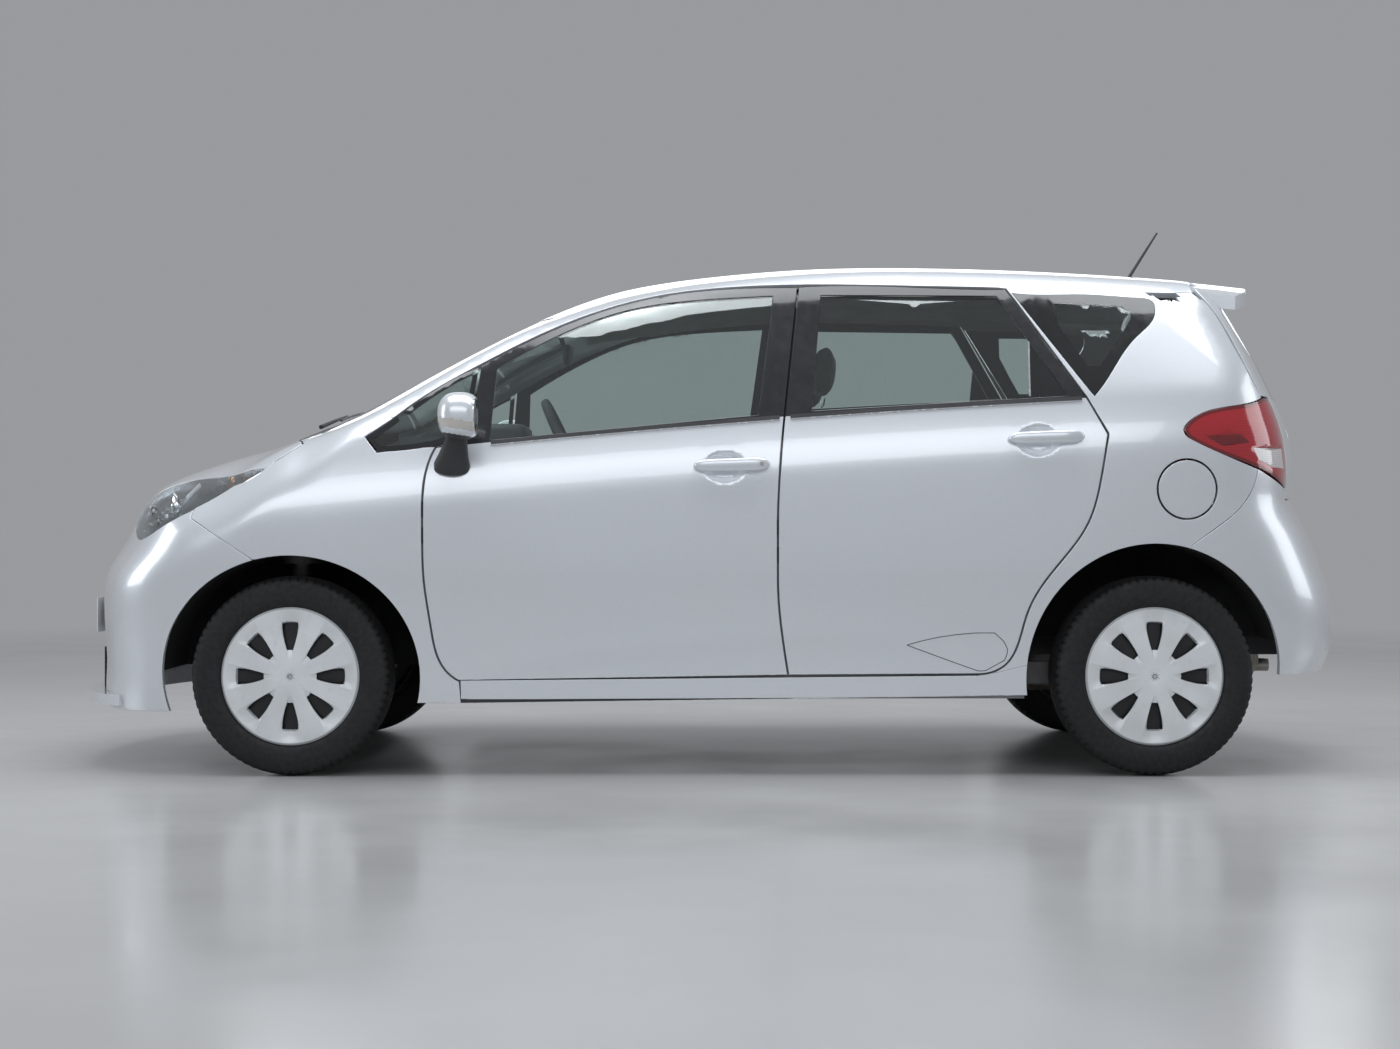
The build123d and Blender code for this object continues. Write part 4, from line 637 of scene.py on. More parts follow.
def outer_sheets(node, level=0.0, side=-1, least=3000.0):
    """Outlines of a node's outermost faces: for each sheet, its closed runs of points."""
    points, corners = cad_mesh(node)
    a, b, c = (points[corners[:, i]] for i in range(3))
    cross = np.cross(b - a, c - a)
    area = np.linalg.norm(cross, axis=1) / 2
    middle = (a + b + c) / 3
    facing = -(cross / np.maximum(2 * area, 1e-9)[:, None] * inward(middle)).sum(axis=1)
    chosen = (np.abs(depth(*middle.T) - level) < 8) & ((facing > 0.45) | (area < 0.02))
    if side:
        chosen &= middle[:, 1] * side > -1
    picked = corners[chosen]
    size = area[chosen]
    touching = {}
    for t, tri in enumerate(picked):
        for i in range(3):
            touching.setdefault(frozenset((tri[i], tri[i - 1])), []).append(t)
    group = np.full(len(picked), -1)
    for seed in range(len(picked)):
        if group[seed] >= 0:
            continue
        group[seed] = seed
        waiting = [seed]
        while waiting:
            t = waiting.pop()
            for i in range(3):
                for other in touching[frozenset((picked[t][i], picked[t][i - 1]))]:
                    if group[other] < 0:
                        group[other] = seed
                        waiting.append(other)
    sheets = []
    for seed in np.unique(group):
        if size[group == seed].sum() < least:
            continue
        onward = {}
        for tri in picked[group == seed]:
            for i in range(3):
                edge = (tri[i - 1], tri[i])
                if len([t for t in touching[frozenset(edge)] if group[t] == seed]) == 1:
                    onward[edge[0]] = edge[1]
        loops = []
        while onward:
            start = next(iter(onward))
            loop = [start]
            while loop[-1] in onward:
                loop.append(onward.pop(loop[-1]))
            if len(loop) > 6:
                loops.append(points[loop[:-1]])
        sheets.append(loops)
    return sheets


def evened(loop, spacing):
    """Even points along a closed outline, its corners kept."""
    loop = loop[np.linalg.norm(np.roll(loop, -1, axis=0) - loop, axis=1) > 0.3]
    step = np.roll(loop, -1, axis=0) - loop
    length = np.linalg.norm(step, axis=1)
    way = step / length[:, None]
    bend = np.degrees(np.arccos(np.clip((way * np.roll(way, 1, axis=0)).sum(axis=1), -1, 1)))
    corners = [i for i in range(len(loop)) if bend[i] > 24]
    kept = [i for n, i in enumerate(corners) if np.linalg.norm(loop[i] - loop[corners[n - 1]]) > 3 or n == 0]
    kept = kept or [0]
    result = []
    for n, first in enumerate(kept):
        last = kept[(n + 1) % len(kept)]
        count = (last - first) % len(loop) or len(loop)
        run = loop[[(first + k) % len(loop) for k in range(count + 1)]]
        share = np.concatenate([[0], np.cumsum(np.linalg.norm(np.diff(run, axis=0), axis=1))])
        parts = max(1, round(share[-1] / spacing))
        for t in np.linspace(0, share[-1], parts, endpoint=False):
            result.append([np.interp(t, share, run[:, k]) for k in range(3)])
    return np.array(result)


def within(flat, edges):
    """Which flat points lie inside closed edges, an (n, 2, 2) array."""
    inside = np.zeros(len(flat), bool)
    for (au, av), (bu, bv) in edges:
        across = (av > flat[:, 1]) != (bv > flat[:, 1])
        if av != bv:
            inside ^= across & (flat[:, 0] < (bu - au) * (flat[:, 1] - av) / (bv - av) + au)
    return inside


def filled(loops, spacing, lines=(), dense=()):
    """Even triangles over a flat region; lines are cut into it, dense ones are (u, v, radius, spacing)."""
    points, edges, border = [], [], []
    for loop in loops:
        start = len(points)
        points += [tuple(p) for p in loop]
        ends = [(start + i, start + (i + 1) % len(loop)) for i in range(len(loop))]
        edges += ends
        border += [(points[i], points[j]) for i, j in ends]
    border = np.array(border)
    for line in lines:
        start = len(points)
        points += [tuple(p) for p in line]
        edges += [(start + i, start + i + 1) for i in range(len(line) - 1)]
    fixed = np.array(points)
    low, high = fixed.min(axis=0), fixed.max(axis=0)

    def grid(low, high, step):
        rows = np.arange(low[1] + step / 2, high[1], step * 0.87)
        return np.array([(u + (n % 2) * step / 2, v) for n, v in enumerate(rows)
                         for u in np.arange(low[0] + step / 2, high[0], step)])

    inner = [grid(low, high, spacing)]
    for u, v, radius, step in dense:
        fine = grid((u - radius, v - radius), (u + radius, v + radius), step)
        if len(fine):
            inner[0] = inner[0][np.hypot(inner[0][:, 0] - u, inner[0][:, 1] - v) > radius]
            inner.append(fine[np.hypot(fine[:, 0] - u, fine[:, 1] - v) <= radius])
    inner = np.concatenate(inner)
    inner = inner[within(inner, border)]
    clear = np.ones(len(inner), bool)
    for start in range(0, len(fixed), 200):
        gap = np.hypot(inner[:, None, 0] - fixed[None, start:start + 200, 0],
                       inner[:, None, 1] - fixed[None, start:start + 200, 1]).min(axis=1)
        room = np.full(len(inner), spacing * 0.45)
        for u, v, radius, step in dense:
            room[np.hypot(inner[:, 0] - u, inner[:, 1] - v) <= radius + 1] = step * 0.45
        clear &= gap > room
    points += [tuple(p) for p in inner[clear]]
    made = geometry.delaunay_2d_cdt([Vector(p) for p in points], edges, [], 0, 1e-3)
    flat = np.array([tuple(p) for p in made[0]])
    faces = np.array([list(f) for f in made[2]])
    faces = faces[within(flat[faces].mean(axis=1), border)]
    used, again = np.unique(faces, return_inverse=True)
    return flat[used], again.reshape(-1, 3)


ROUND_STEPS = (0, 30, 60, 90)


def shell(flat, faces, way, wall, level=0.0, relief=None, choose=None, rounding=0.0):
    """A thick sheet over the body's surface from flat triangles, its outer edge rounded."""
    outer = way.place(flat)
    into = way.into(outer)
    outer = outer + into * level
    if relief is not None:
        outer = outer + inward(outer) * relief(outer)[:, None]
    a, b, c = (outer[faces[:, i]] for i in range(3))
    if (np.cross(b - a, c - a) * inward((a + b + c) / 3)).sum() > 0:
        faces = faces[:, ::-1]
    count = len(outer)
    edges = {}
    for n, tri in enumerate(faces):
        for i in range(3):
            edges[(tri[i - 1], tri[i])] = n
    rim = [(i, j, n) for (i, j), n in edges.items() if (j, i) not in edges]
    middle = outer[faces].mean(axis=1)
    main = list(choose(middle)) if choose else [0] * len(faces)
    border = sorted({i for i, _, _ in rim})
    place = {v: n for n, v in enumerate(border)}
    normal = -inward(outer[border])
    aside = np.zeros((len(border), 3))
    for i, j, _ in rim:
        on = (outer[j] - outer[i]) / max(np.linalg.norm(outer[j] - outer[i]), 1e-9)
        for v in (i, j):
            aside[place[v]] += np.cross(normal[place[v]], on)
    aside /= np.maximum(np.linalg.norm(aside, axis=1, keepdims=True), 1e-9)
    edge = outer[border]
    front = outer.copy()
    rings = [np.array(border)]
    points = [front]
    if rounding:
        for turn in ROUND_STEPS:
            turn = math.radians(turn)
            ring = edge + aside * rounding * (1 - math.sin(turn)) - normal * rounding * (1 - math.cos(turn))
            if turn == 0:
                front[border] = ring
                continue
            rings.append(np.arange(len(border)) + sum(len(p) for p in points))
            points.append(ring)
    back = sum(len(p) for p in points)
    points.append(outer + into * wall)
    rings.append(np.array(border) + back)
    all_faces = [list(f) for f in faces] + [[i + back for i in f[::-1]] for f in faces]
    which = main + main
    for near, far in zip(rings, rings[1:]):
        for i, j, n in rim:
            i, j = place[i], place[j]
            all_faces.append([near[j], near[i], far[i], far[j]])
            which.append(main[n])
    return np.concatenate(points), all_faces, which


LEAST_HOLE = 9000


def ring_area(ring):
    return (ring[:, 0] * np.roll(ring[:, 1], -1) - ring[:, 1] * np.roll(ring[:, 0], -1)).sum() / 2


def panel(node, way, wall, level=0.0, side=-1, spacing=PANEL_SPACING, relief=None, choose=None, lines=(),
          dense=(), least=3000.0, rounding=1.8, keep=None):
    """Even skins over the outlines of a CAD node's outer faces."""
    lumps = []
    for loops in outer_sheets(node, level, side, least):
        loops = [evened(loop, spacing * 0.55) for loop in loops]
        if keep and not keep(np.concatenate(loops).mean(axis=0)):
            continue
        rings = [way.flat(loop) for loop in loops if len(loop) > 3]
        rings = [ring for ring in rings if abs(ring_area(ring)) > LEAST_HOLE]
        flat, faces = filled(rings, spacing, lines, dense)
        lumps.append(shell(flat, faces, way, wall, level, relief, choose, rounding))
    return joined(*lumps)


def patch(outline, way, wall, level, spacing=20, holes_shade_and_relief=(), choose=None, lines=(), rounding=0.0):
    """A sheet over a drawn outline, (u, v) points in the unrolled surface."""
    loops = []
    for ring in (outline, *holes_shade_and_relief):
        ring = np.column_stack([np.asarray(ring, float), np.zeros(len(ring))])
        loops.append(evened(ring, spacing * 0.6)[:, :2])
    flat, faces = filled(loops, spacing, lines)
    return shell(flat, faces, way, wall, level, None, choose, rounding)


def strip(line, width, way, wall, level, spacing=25):
    """A narrow band centred on a drawn line."""
    line = np.asarray(line, float)
    share = np.concatenate([[0], np.cumsum(np.linalg.norm(np.diff(line, axis=0), axis=1))])
    at = np.linspace(0, share[-1], max(3, int(share[-1] / spacing)))
    line = np.stack([np.interp(at, share, line[:, k]) for k in (0, 1)], axis=-1)
    way_on = np.gradient(line, axis=0)
    way_on /= np.linalg.norm(way_on, axis=1, keepdims=True)
    across = way_on[:, ::-1] * [-1, 1]
    ring = np.concatenate([line + across * width / 2, (line - across * width / 2)[::-1]])
    count = len(line)
    faces = []
    for i in range(count - 1):
        a, b, c, d = i, i + 1, 2 * count - 2 - i, 2 * count - 1 - i
        faces += [[a, b, c], [a, c, d]]
    return shell(ring, np.array(faces), way, wall, level)


# ---------------------------------------------------------------- drawn lines
def near_line(points, line):
    """Distance of (x, z) points from a drawn line, and how far along its nearest point is."""
    line = np.asarray(line, float)
    best = np.full(len(points), 1e9)
    share = np.zeros(len(points))
    for n in range(len(line) - 1):
        a, b = line[n], line[n + 1]
        t = np.clip(((points - a) @ (b - a)) / ((b - a) @ (b - a)), 0, 1)
        gap = np.linalg.norm(points - a - t[:, None] * (b - a), axis=1)
        share = np.where(gap < best, (n + t) / (len(line) - 1), share)
        best = np.minimum(gap, best)
    return best, share


LOW_CREASE = [(-713, 308), (-520, 333), (-330, 356), (-60, 382), (200, 403), (465, 415), (569, 379)]
SHOULDER_CREASE = [(-1211, 800), (-1020, 824), (-843, 844), (-300, 893), (200, 942), (700, 980), (1156, 1000)]
CUPS = ((38, 912, 68, 50), (959, 991, 66, 49))
CUP_DEPTH = 8.6


def side_relief(points):
    """Pressed lines and handle cups in the door skins, as depth below the plain surface."""
    flat = points[:, [0, 2]]
    gap, share = near_line(flat, LOW_CREASE)
    fade = np.sin(np.clip(share, 0, 1) * math.pi) ** 0.5
    above = flat[:, 1] > np.interp(flat[:, 0], *zip(*LOW_CREASE))
    cut = fade * np.where(above, 3.4 * np.exp(-(gap / 60) ** 2), 3.4 * np.exp(-(gap / 11) ** 2))
    gap, _ = near_line(flat, SHOULDER_CREASE)
    cut = cut + 1.2 * np.exp(-(gap / 26) ** 2)
    for x, z, long, high in CUPS:
        away = np.sqrt(((flat[:, 0] - x) / long) ** 2 + ((flat[:, 1] - z) / high) ** 2)
        cut = cut + CUP_DEPTH * (1 - ramp(0.62, 1.0, away))
    return cut


def frame_above_belt(points):
    """Window frames are black, the skin below them is painted."""
    return (points[:, 2] > belt_line(points[:, 0]) - 4).astype(int)


def belt_cut(x_from, x_to):
    return [(x, belt_line(x) - 4) for x in np.linspace(x_from, x_to, 30)]


def cup_line(x, z, long, high, grow=1.0):
    turn = np.linspace(0, 2 * math.pi, 41)
    return [(x + long * grow * math.cos(t), z + high * grow * math.sin(t)) for t in turn]


# ---------------------------------------------------------------- what is left of a CAD node
def loose_parts(node):
    """The separate solids of a node as (points, faces), each with whether it carries the outer skin."""
    points, corners = cad_mesh(node)
    label = np.arange(len(points))
    while True:
        fresh = label.copy()
        np.minimum.at(fresh, corners, np.repeat(label[corners].min(axis=1)[:, None], 3, axis=1))
        fresh = fresh[fresh]
        if (fresh == label).all():
            break
        label = fresh
    a, b, c = (points[corners[:, i]] for i in range(3))
    cross = np.cross(b - a, c - a)
    area = np.linalg.norm(cross, axis=1) / 2
    middle = (a + b + c) / 3
    facing = -(cross / np.maximum(2 * area, 1e-9)[:, None] * inward(middle)).sum(axis=1)
    skin = (np.abs(depth(*middle.T)) < 8) & (facing > 0.45)
    parts = []
    for one in np.unique(label[corners[:, 0]]):
        mine = label[corners[:, 0]] == one
        used, again = np.unique(corners[mine], return_inverse=True)
        parts.append((points[used], again.reshape(-1, 3), area[mine & skin].sum() > 20000))
    return parts


def rest_of(node, name, finish, body="car_body", slot="paint", keep=None, replaces=True):
    """The solids of a node that the dressed skins don't stand for; finish gives each its material."""
    lumps, used = [], []
    for points, faces, is_skin in loose_parts(node):
        middle = (points.min(axis=0) + points.max(axis=0)) / 2
        size = np.ptp(points, axis=0)
        if is_skin or (keep and not keep(middle, size)):
            continue
        key = finish(middle, size)
        if key not in used:
            used.append(key)
        lumps.append((points, faces.tolist(), [used.index(key)] * len(faces)))
    points, faces, which = joined(*lumps)
    return solid(name, points, faces, used, which, body, slot, crisp=32, hold=[node] if replaces else None)


def split(lump, *materials):
    points, faces, which = lump
    return points, faces, materials or ("paint",), which


# ---------------------------------------------------------------- painted panels
COWL_HALF = 600


def fixed_panels():
    """Fenders, bumpers, body sides and roof."""
    left = panel("fenders", FENDER, 14, relief=lambda p: side_relief(p) * 0.4)
    solid("fender_skins", *split(joined(left, flipped(left))), hold=["fenders"])
    solid("front_bumper_skin", *split(panel("front_bumper", NOSE, 14, side=0)))
    rest_of("front_bumper", "lip_and_front_plate", lambda m, s: "plate" if m[2] > 300 else "paint")
    solid("rear_bumper_skin", *split(panel("rear_bumper", TAIL, 14, side=0)), hold=["rear_bumper"])
    solid("roof_skin", *split(panel("roof_panel", ROOF, 20, side=0, spacing=30)), hold=["roof_panel"])
    seams = [HOOD.flat(TOP.place(np.array([(x, y) for x in np.linspace(-1330, -1080, 9)], float)))
             for y in (-COWL_HALF, COWL_HALF)]
    cowl = panel("cowl", HOOD, 14, side=0, lines=seams,
                 choose=lambda p: (np.abs(p[:, 1]) < COWL_HALF).astype(int))
    solid("cowl_skin", *split(cowl, "paint", "black_plastic"), slot="black_plastic")
    rest_of("cowl", "hood_hinges", lambda m, s: "black_plastic", slot="black_plastic")
    for side, sign in (("left", -1), ("right", 1)):
        node = f"body_side_{side}"
        quarter = panel(node, QUARTER, 14, side=sign, keep=lambda m: m[0] > 900)
        sill = panel("body_side_left", SIDE, 14, keep=lambda m: m[0] < 900 and m[2] < 400,
                     choose=lambda p: (p[:, 2] < 228).astype(int), lines=[[(-800, 226), (1000, 240)]])
        sill = sill if sign < 0 else flipped(sill)
        solid(f"quarter_skin_{side}", *split(quarter))
        solid(f"sill_skin_{side}", *split(sill, "paint", "black_plastic"))
        # the large inner frame takes the dark grey painted shade seen through the panel gaps; smaller parts are black
        rest_of(node, f"door_openings_{side}", lambda m, s: "frame_metal" if s[0] > 900 else "black",
                slot="paint")


def doors():
    for end, span, cup in (("front", (-1100, 400), CUPS[0]), ("rear", (100, 1250), CUPS[1])):
        lines = [belt_cut(*span), cup_line(*cup), cup_line(*cup, grow=0.62)]
        x, z, long, _ = cup
        left = panel(f"{end}_door_left", SIDE, 9.6, relief=side_relief, choose=frame_above_belt, lines=lines,
                     dense=[(x, z, long + 8, 9)], spacing=22)
        for side, lump in (("left", left), ("right", flipped(left))):
            body = f"{end}_door_{side}"
            solid(f"{end}_door_skin_{side}", *split(lump, "paint", "black"), body=body)
            rest_of(body, f"{end}_door_inside_{side}", lambda m, s: "trim", body=body, slot="trim_plastic",
                    keep=lambda m, s: s[0] > 500)


def opening_panels():
    """Hood, tailgate and fuel lid."""
    solid("hood_skin", *split(panel("hood", HOOD, 9.6, side=0)), body="hood")
    # hood frame painted dark grey as painted shade under the hood
    rest_of("hood", "hood_frame", lambda m, s: "frame_metal", body="hood")
    solid("tailgate_skin", *split(panel("tailgate", HATCH, 9.6, side=0, least=8000)), body="tailgate")
    rest_of("tailgate", "tailgate_inner", lambda m, s: "trim", body="tailgate", keep=lambda m, s: s[2] > 160)
    spoiler = next((p, f) for p, f, _ in loose_parts("tailgate") if p[:, 2].min() > 1380)
    solid("spoiler", *spoiler, ["paint"], body="tailgate", crisp=40)
    lump = patch([(-REAR_PLATE[0], z) for z in REAR_PLATE[1:]] + [(REAR_PLATE[0], z) for z in REAR_PLATE[:0:-1]],
                 HATCH, 5, -4, 30, rounding=1.5)
    solid("rear_plate", *split(lump, "plate"), body="tailgate", slot="paint")
    solid("fuel_lid_skin", *split(panel("fuel_lid", SIDE, 9.6, spacing=12)), body="fuel_lid",
          hold=["fuel_lid"])


REAR_PLATE = (360, 880, 990)


# ---------------------------------------------------------------- glass
def inset_ring(ring, amount):
    """A flat ring drawn in by an amount."""
    way = np.roll(ring, -1, axis=0) - np.roll(ring, 1, axis=0)
    way /= np.maximum(np.linalg.norm(way, axis=1, keepdims=True), 1e-9)
    return ring + way[:, ::-1] * [-1, 1] * amount * np.sign(ring_area(ring))


def glazing(node, way, level, wall, border=0, side=-1, keep=None, clear=None, spacing=30):
    """Panes over a node's outlines, black where the border or the clear outline leaves them so."""
    lumps = []
    for loops in outer_sheets(node, level, side):
        loops = [evened(loop, spacing * 0.5) for loop in loops]
        if keep and not keep(loops[0].mean(axis=0)):
            continue
        rings = [way.flat(loop) for loop in loops]
        if clear is not None:
            edge = np.array(clear, float)
        else:
            edge = inset_ring(rings[0], border)
        lines = [np.concatenate([edge, edge[:1]])] if border or clear is not None else []
        flat, faces = filled(rings, spacing, lines)
        is_clear = within(flat[faces].mean(axis=1), np.stack([edge, np.roll(edge, -1, axis=0)], axis=1))
        points, all_faces, _ = shell(flat, faces, way, wall, level)
        main = [int(not c) for c in is_clear] if lines else [0] * len(faces)
        lumps.append((points, all_faces, main + main + [int(bool(lines))] * (len(all_faces) - 2 * len(faces))))
    return joined(*lumps)


QUARTER_CLEAR = [(1032, 1409), (1120, 1408), (1231, 1401), (1258, 1390), (1263, 1364), (1154, 1214), (1118, 1214),
                 (1082, 1270), (1039, 1341)]
REAR_CLEAR = [(330, 1430), (859, 1424), (905, 1368), (947, 1295), (940, 1118), (296, 1084)]


def windows():
    solid("windscreen_pane", *split(glazing("windscreen", TOP, 3, 4.6, border=42, side=0, spacing=40),
                                    "glass", "frit"), slot="glass", hold=["windscreen"], crisp=50)
    solid("rear_window_pane", *split(glazing("tailgate_glass", HATCH, 0, 4.6, border=48, side=0, spacing=34),
                                     "glass", "frit"), slot="glass", body="tailgate_glass_body"
          if "tailgate_glass_body" in frame["bodies"] else "tailgate", hold=["tailgate_glass"], crisp=50)
    clear = QUARTER.flat(SIDE.place(np.array(QUARTER_CLEAR, float)))
    rear = glazing("fixed_side_glass", QUARTER, 0, 4.6, keep=lambda m: m[0] > 0, clear=clear)
    front = glazing("fixed_side_glass", SIDE, 3, 4.6, border=15, keep=lambda m: m[0] < 0)
    left = joined(rear, front)
    solid("quarter_panes", *split(joined(left, flipped(left)), "glass", "frit"), slot="glass",
          hold=["fixed_side_glass"], crisp=50)
    for end, clear in (("front", None), ("rear", REAR_CLEAR)):
        left = glazing(f"{end}_door_glass_left", SIDE, 3, 4.6, clear=clear)
        for side, lump in (("left", left), ("right", flipped(left))):
            solid(f"{end}_door_pane_{side}", *split(lump, "glass", "frit"), slot="glass",
                  body=f"{end}_door_{side}", hold=[f"{end}_door_glass_{side}"], crisp=50)


# ---------------------------------------------------------------- repeated small things
def repeated(name, lump, count, step, material, body):
    """Copies of a small bar in a straight row, by a node tree with a count and a step."""
    tree = bpy.data.node_groups.new(name + "_row", "GeometryNodeTree")
    face = tree.interface
    face.new_socket("Bar", in_out="INPUT", socket_type="NodeSocketGeometry")
    face.new_socket("Count", in_out="INPUT", socket_type="NodeSocketInt")
    face.new_socket("Step", in_out="INPUT", socket_type="NodeSocketVector")
    face.new_socket("Row", in_out="OUTPUT", socket_type="NodeSocketGeometry")
    start, end = tree.nodes.new("NodeGroupInput"), tree.nodes.new("NodeGroupOutput")
    line = tree.nodes.new("GeometryNodeMeshLine")
    copies = tree.nodes.new("GeometryNodeInstanceOnPoints")
    real = tree.nodes.new("GeometryNodeRealizeInstances")
    finish = tree.nodes.new("GeometryNodeSetMaterial")
    finish.inputs["Material"].default_value = M[material]
    tree.links.new(start.outputs["Count"], line.inputs["Count"])
    tree.links.new(start.outputs["Step"], line.inputs["Offset"])
    tree.links.new(line.outputs[0], copies.inputs["Points"])
    tree.links.new(start.outputs["Bar"], copies.inputs["Instance"])
    tree.links.new(copies.outputs[0], real.inputs[0])
    tree.links.new(real.outputs[0], finish.inputs["Geometry"])
    tree.links.new(finish.outputs[0], end.inputs["Row"])
    points, faces, _ = lump
    mesh = bpy.data.meshes.new(name + "_bar")
    mesh.from_pydata((np.asarray(points) * MM).tolist(), [], faces)
    bar = bpy.data.objects.new(name + "_bar", mesh)
    bpy.context.collection.objects.link(bar)
    row = bar.modifiers.new("row", "NODES")
    row.node_group = tree
    for item in face.items_tree:
        if item.in_out == "INPUT" and item.name == "Count":
            row[item.identifier] = count
        if item.in_out == "INPUT" and item.name == "Step":
            row[item.identifier] = [v * MM for v in step]
    made = bpy.data.meshes.new_from_object(bar.evaluated_get(bpy.context.evaluated_depsgraph_get()))
    bpy.data.objects.remove(bar)
    piece = bpy.data.objects.new(name, made)
    bpy.context.collection.objects.link(piece)
    dress(piece)
    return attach(piece, body)


# ---------------------------------------------------------------- wheels
COVER_OUT = 83.5
SPOKES = 8
COVER_RINGS = (6, 16, 20, 24, 40, 52, 60, 66, 72, 78, 80, 83, 90, 100, 112, 124, 136, 148, 154, 157, 158, 162, 172,
               184, 192, 196, 198, 203, 206, 206)
SLOT_WIDTH = [(76, 5), (80, 7), (90, 11), (104, 15.5), (124, 19), (140, 19.5), (154, 18), (158, 16.5)]
VALLEY_WIDTH = [(56, 3), (80, 11), (158, 31), (198, 43)]
VALLEY_DEPTH = [(56, 0), (78, 5.5), (110, 8), (158, 8), (176, 6.5), (196, 0)]


def wheel_cover(centre, side):
    """Eight broad spokes between wedge-shaped valleys, a recessed slot in each painted near-black as shade, round a
    bare hub.
    """
    points, which, faces = [], [], []
    widest = math.pi / SPOKES
    for n, r in enumerate(COVER_RINGS):
        slot = min(np.interp(r, *zip(*SLOT_WIDTH)) / r, widest * 0.5)
        valley = min(np.interp(r, *zip(*VALLEY_WIDTH)) / r, widest * 0.8)
        valley = max(valley, slot + 1.5 / r)
        deep = np.interp(r, *zip(*VALLEY_DEPTH))
        in_slot = SLOT_WIDTH[1][0] <= r <= SLOT_WIDTH[-1][0]
        half = [0, slot * 0.5, slot, slot + (valley - slot) * 0.5, valley, valley + 1.2 / r]
        half += list(np.linspace(half[-1], widest, 4)[1:])
        columns = [-c for c in half[:0:-1]] + half[:-1]
        for k in range(SPOKES):
            for c in columns:
                away = abs(c)
                out = COVER_OUT + 2.4 * (1 - ramp(50, 150, r)) - 9 * ramp(197, 206, r) - 1.2 * ramp(24, 20, r)
                if away <= slot + 1e-9 and in_slot:
                    out -= deep + 14
                elif away <= valley + 1e-9:
                    share = (away - slot) / (valley - slot)
                    out -= deep * (1 - max(share, 0) ** 1.4)
                if n == len(COVER_RINGS) - 1:
                    out = 62
                turn = 2 * math.pi * k / SPOKES + math.pi / 2 + c
                points.append([centre[0] + r * math.cos(turn), centre[1] + side * out,
                               centre[2] + r * math.sin(turn)])
    per = len(columns)
    edges = per * SPOKES
    for n in range(len(COVER_RINGS) - 1):
        mid = (COVER_RINGS[n] + COVER_RINGS[n + 1]) / 2
        for k in range(edges):
            m = (k + 1) % edges
            face = [n * edges + k, n * edges + m, (n + 1) * edges + m, (n + 1) * edges + k]
            faces.append(face if side > 0 else face[::-1])
            # faces in a slot take the near-black painted shade
            inside = per // 2 - 3 <= k % per < per // 2 + 3
            which.append(int(inside and SLOT_WIDTH[0][0] < mid < SLOT_WIDTH[-1][0] + 2))
    faces.append(list(range(edges))[::-1] if side > 0 else list(range(edges)))
    which.append(0)
    return points, faces, which


def tyre_profile():
    """Half a tyre's section, (outboard, radius), from the outer bead round the tread to the middle."""
    return [(76, 192), (76.2, 206), (81, 207), (87, 212), (90.5, 222), (92.2, 238), (92.4, 252), (90.8, 266),
            (88.5, 275), (86.5, 279), (84, 284), (79, 288.5), (72, 291.5), (62, 293), (56, 293.4), (55.6, 286.5),
            (50.4, 286.5), (50, 293.8), (35, 294.5), (24, 294.7), (23.6, 287), (16.4, 287), (16, 294.8), (4, 295)]


def tyre_ring(centre, side):
    half = tyre_profile()
    profile = half + [(-o, r) for o, r in reversed(half)]
    steps = 288
    points, faces, which = spun(profile, steps, centre, side)
    points = np.array(points)
    grid = points.reshape(steps, len(profile), 3)
    middle = np.array(centre)
    for i in range(steps):
        notch = i % 4 == 0
        for k, (o, r) in enumerate(profile):
            if r > 281 and 60 < abs(o) < 90 and notch or (r > 290 and 24 < abs(o) < 50 and i % 4 == 2):
                shrink = (r - 5) / r if abs(o) > 60 else (r - 3) / r
                away = grid[i, k] - middle
                grid[i, k] = middle + away * [shrink, 1, shrink]
    return grid.reshape(-1, 3), faces, which


def wheels():
    for end, axle in zip(("front", "rear"), AXLES):
        for side_name, side in (("left", -1), ("right", 1)):
            body = f"{end}_wheel_{side_name}"
            centre = (axle, side * WHEEL_Y, TYRE_RADIUS)
            cover = wheel_cover(centre, side)
            rim = spun([(76.3, 205), (70, 203), (60, 190), (20, 182), (-55, 183), (-70, 190), (-76, 203),
                        (-76, 189.8), (-60, 178), (20, 172), (60, 178), (76, 190)][::-1], 96, centre, side, which=2)
            dish = spun([(40, 181), (34, 150), (38, 80), (30, 60), (30, 0.5), (24, 0.5), (24, 64), (29, 84),
                         (26, 150), (32, 181)], 72, centre, side, which=2)
            disc = spun([(-8, 134), (-8, 62), (23, 62), (23, 40), (-28, 40), (-28, 134)], 72, centre, side, which=3)
            lump = joined(cover, rim, dish, disc)
            points, faces, which = lump
            piece = solid(f"{body}_dressed", points, faces, ["cover", "slot_painted_shade", "steel", "disc"], which,
                          body=body, slot="cover_plastic", crisp=30, hold=[body])
            piece.data.validate()
            points, faces, which = tyre_ring(centre, side)
            solid(f"{end}_tyre_{side_name}_dressed", points, faces, ["tyre"], which, body=body, slot="tyre",
                  crisp=34, hold=[f"{end}_tyre_{side_name}"])


# ---------------------------------------------------------------- lamps
def tray(node, way, deep, side=-1):
    """Open housing behind a lens."""
    lumps = []
    for loops in outer_sheets(node, 0, side):
        loops = [evened(loop, 12) for loop in loops]
        flat, faces = filled([way.flat(loop) for loop in loops], 20)
        points, all_faces, _ = shell(flat, faces, way, deep)
        count, tris = len(flat), len(faces)
        back = [[i + count for i in f] for f in all_faces[:tris]]
        rim = [f[::-1] for f in all_faces[2 * tris:]]
        shrink = points.copy()
        shrink[:count] += way.into(points[:count]) * 4
        lumps.append((shrink, back + rim, [0] * len(back + rim)))
    return joined(*lumps)


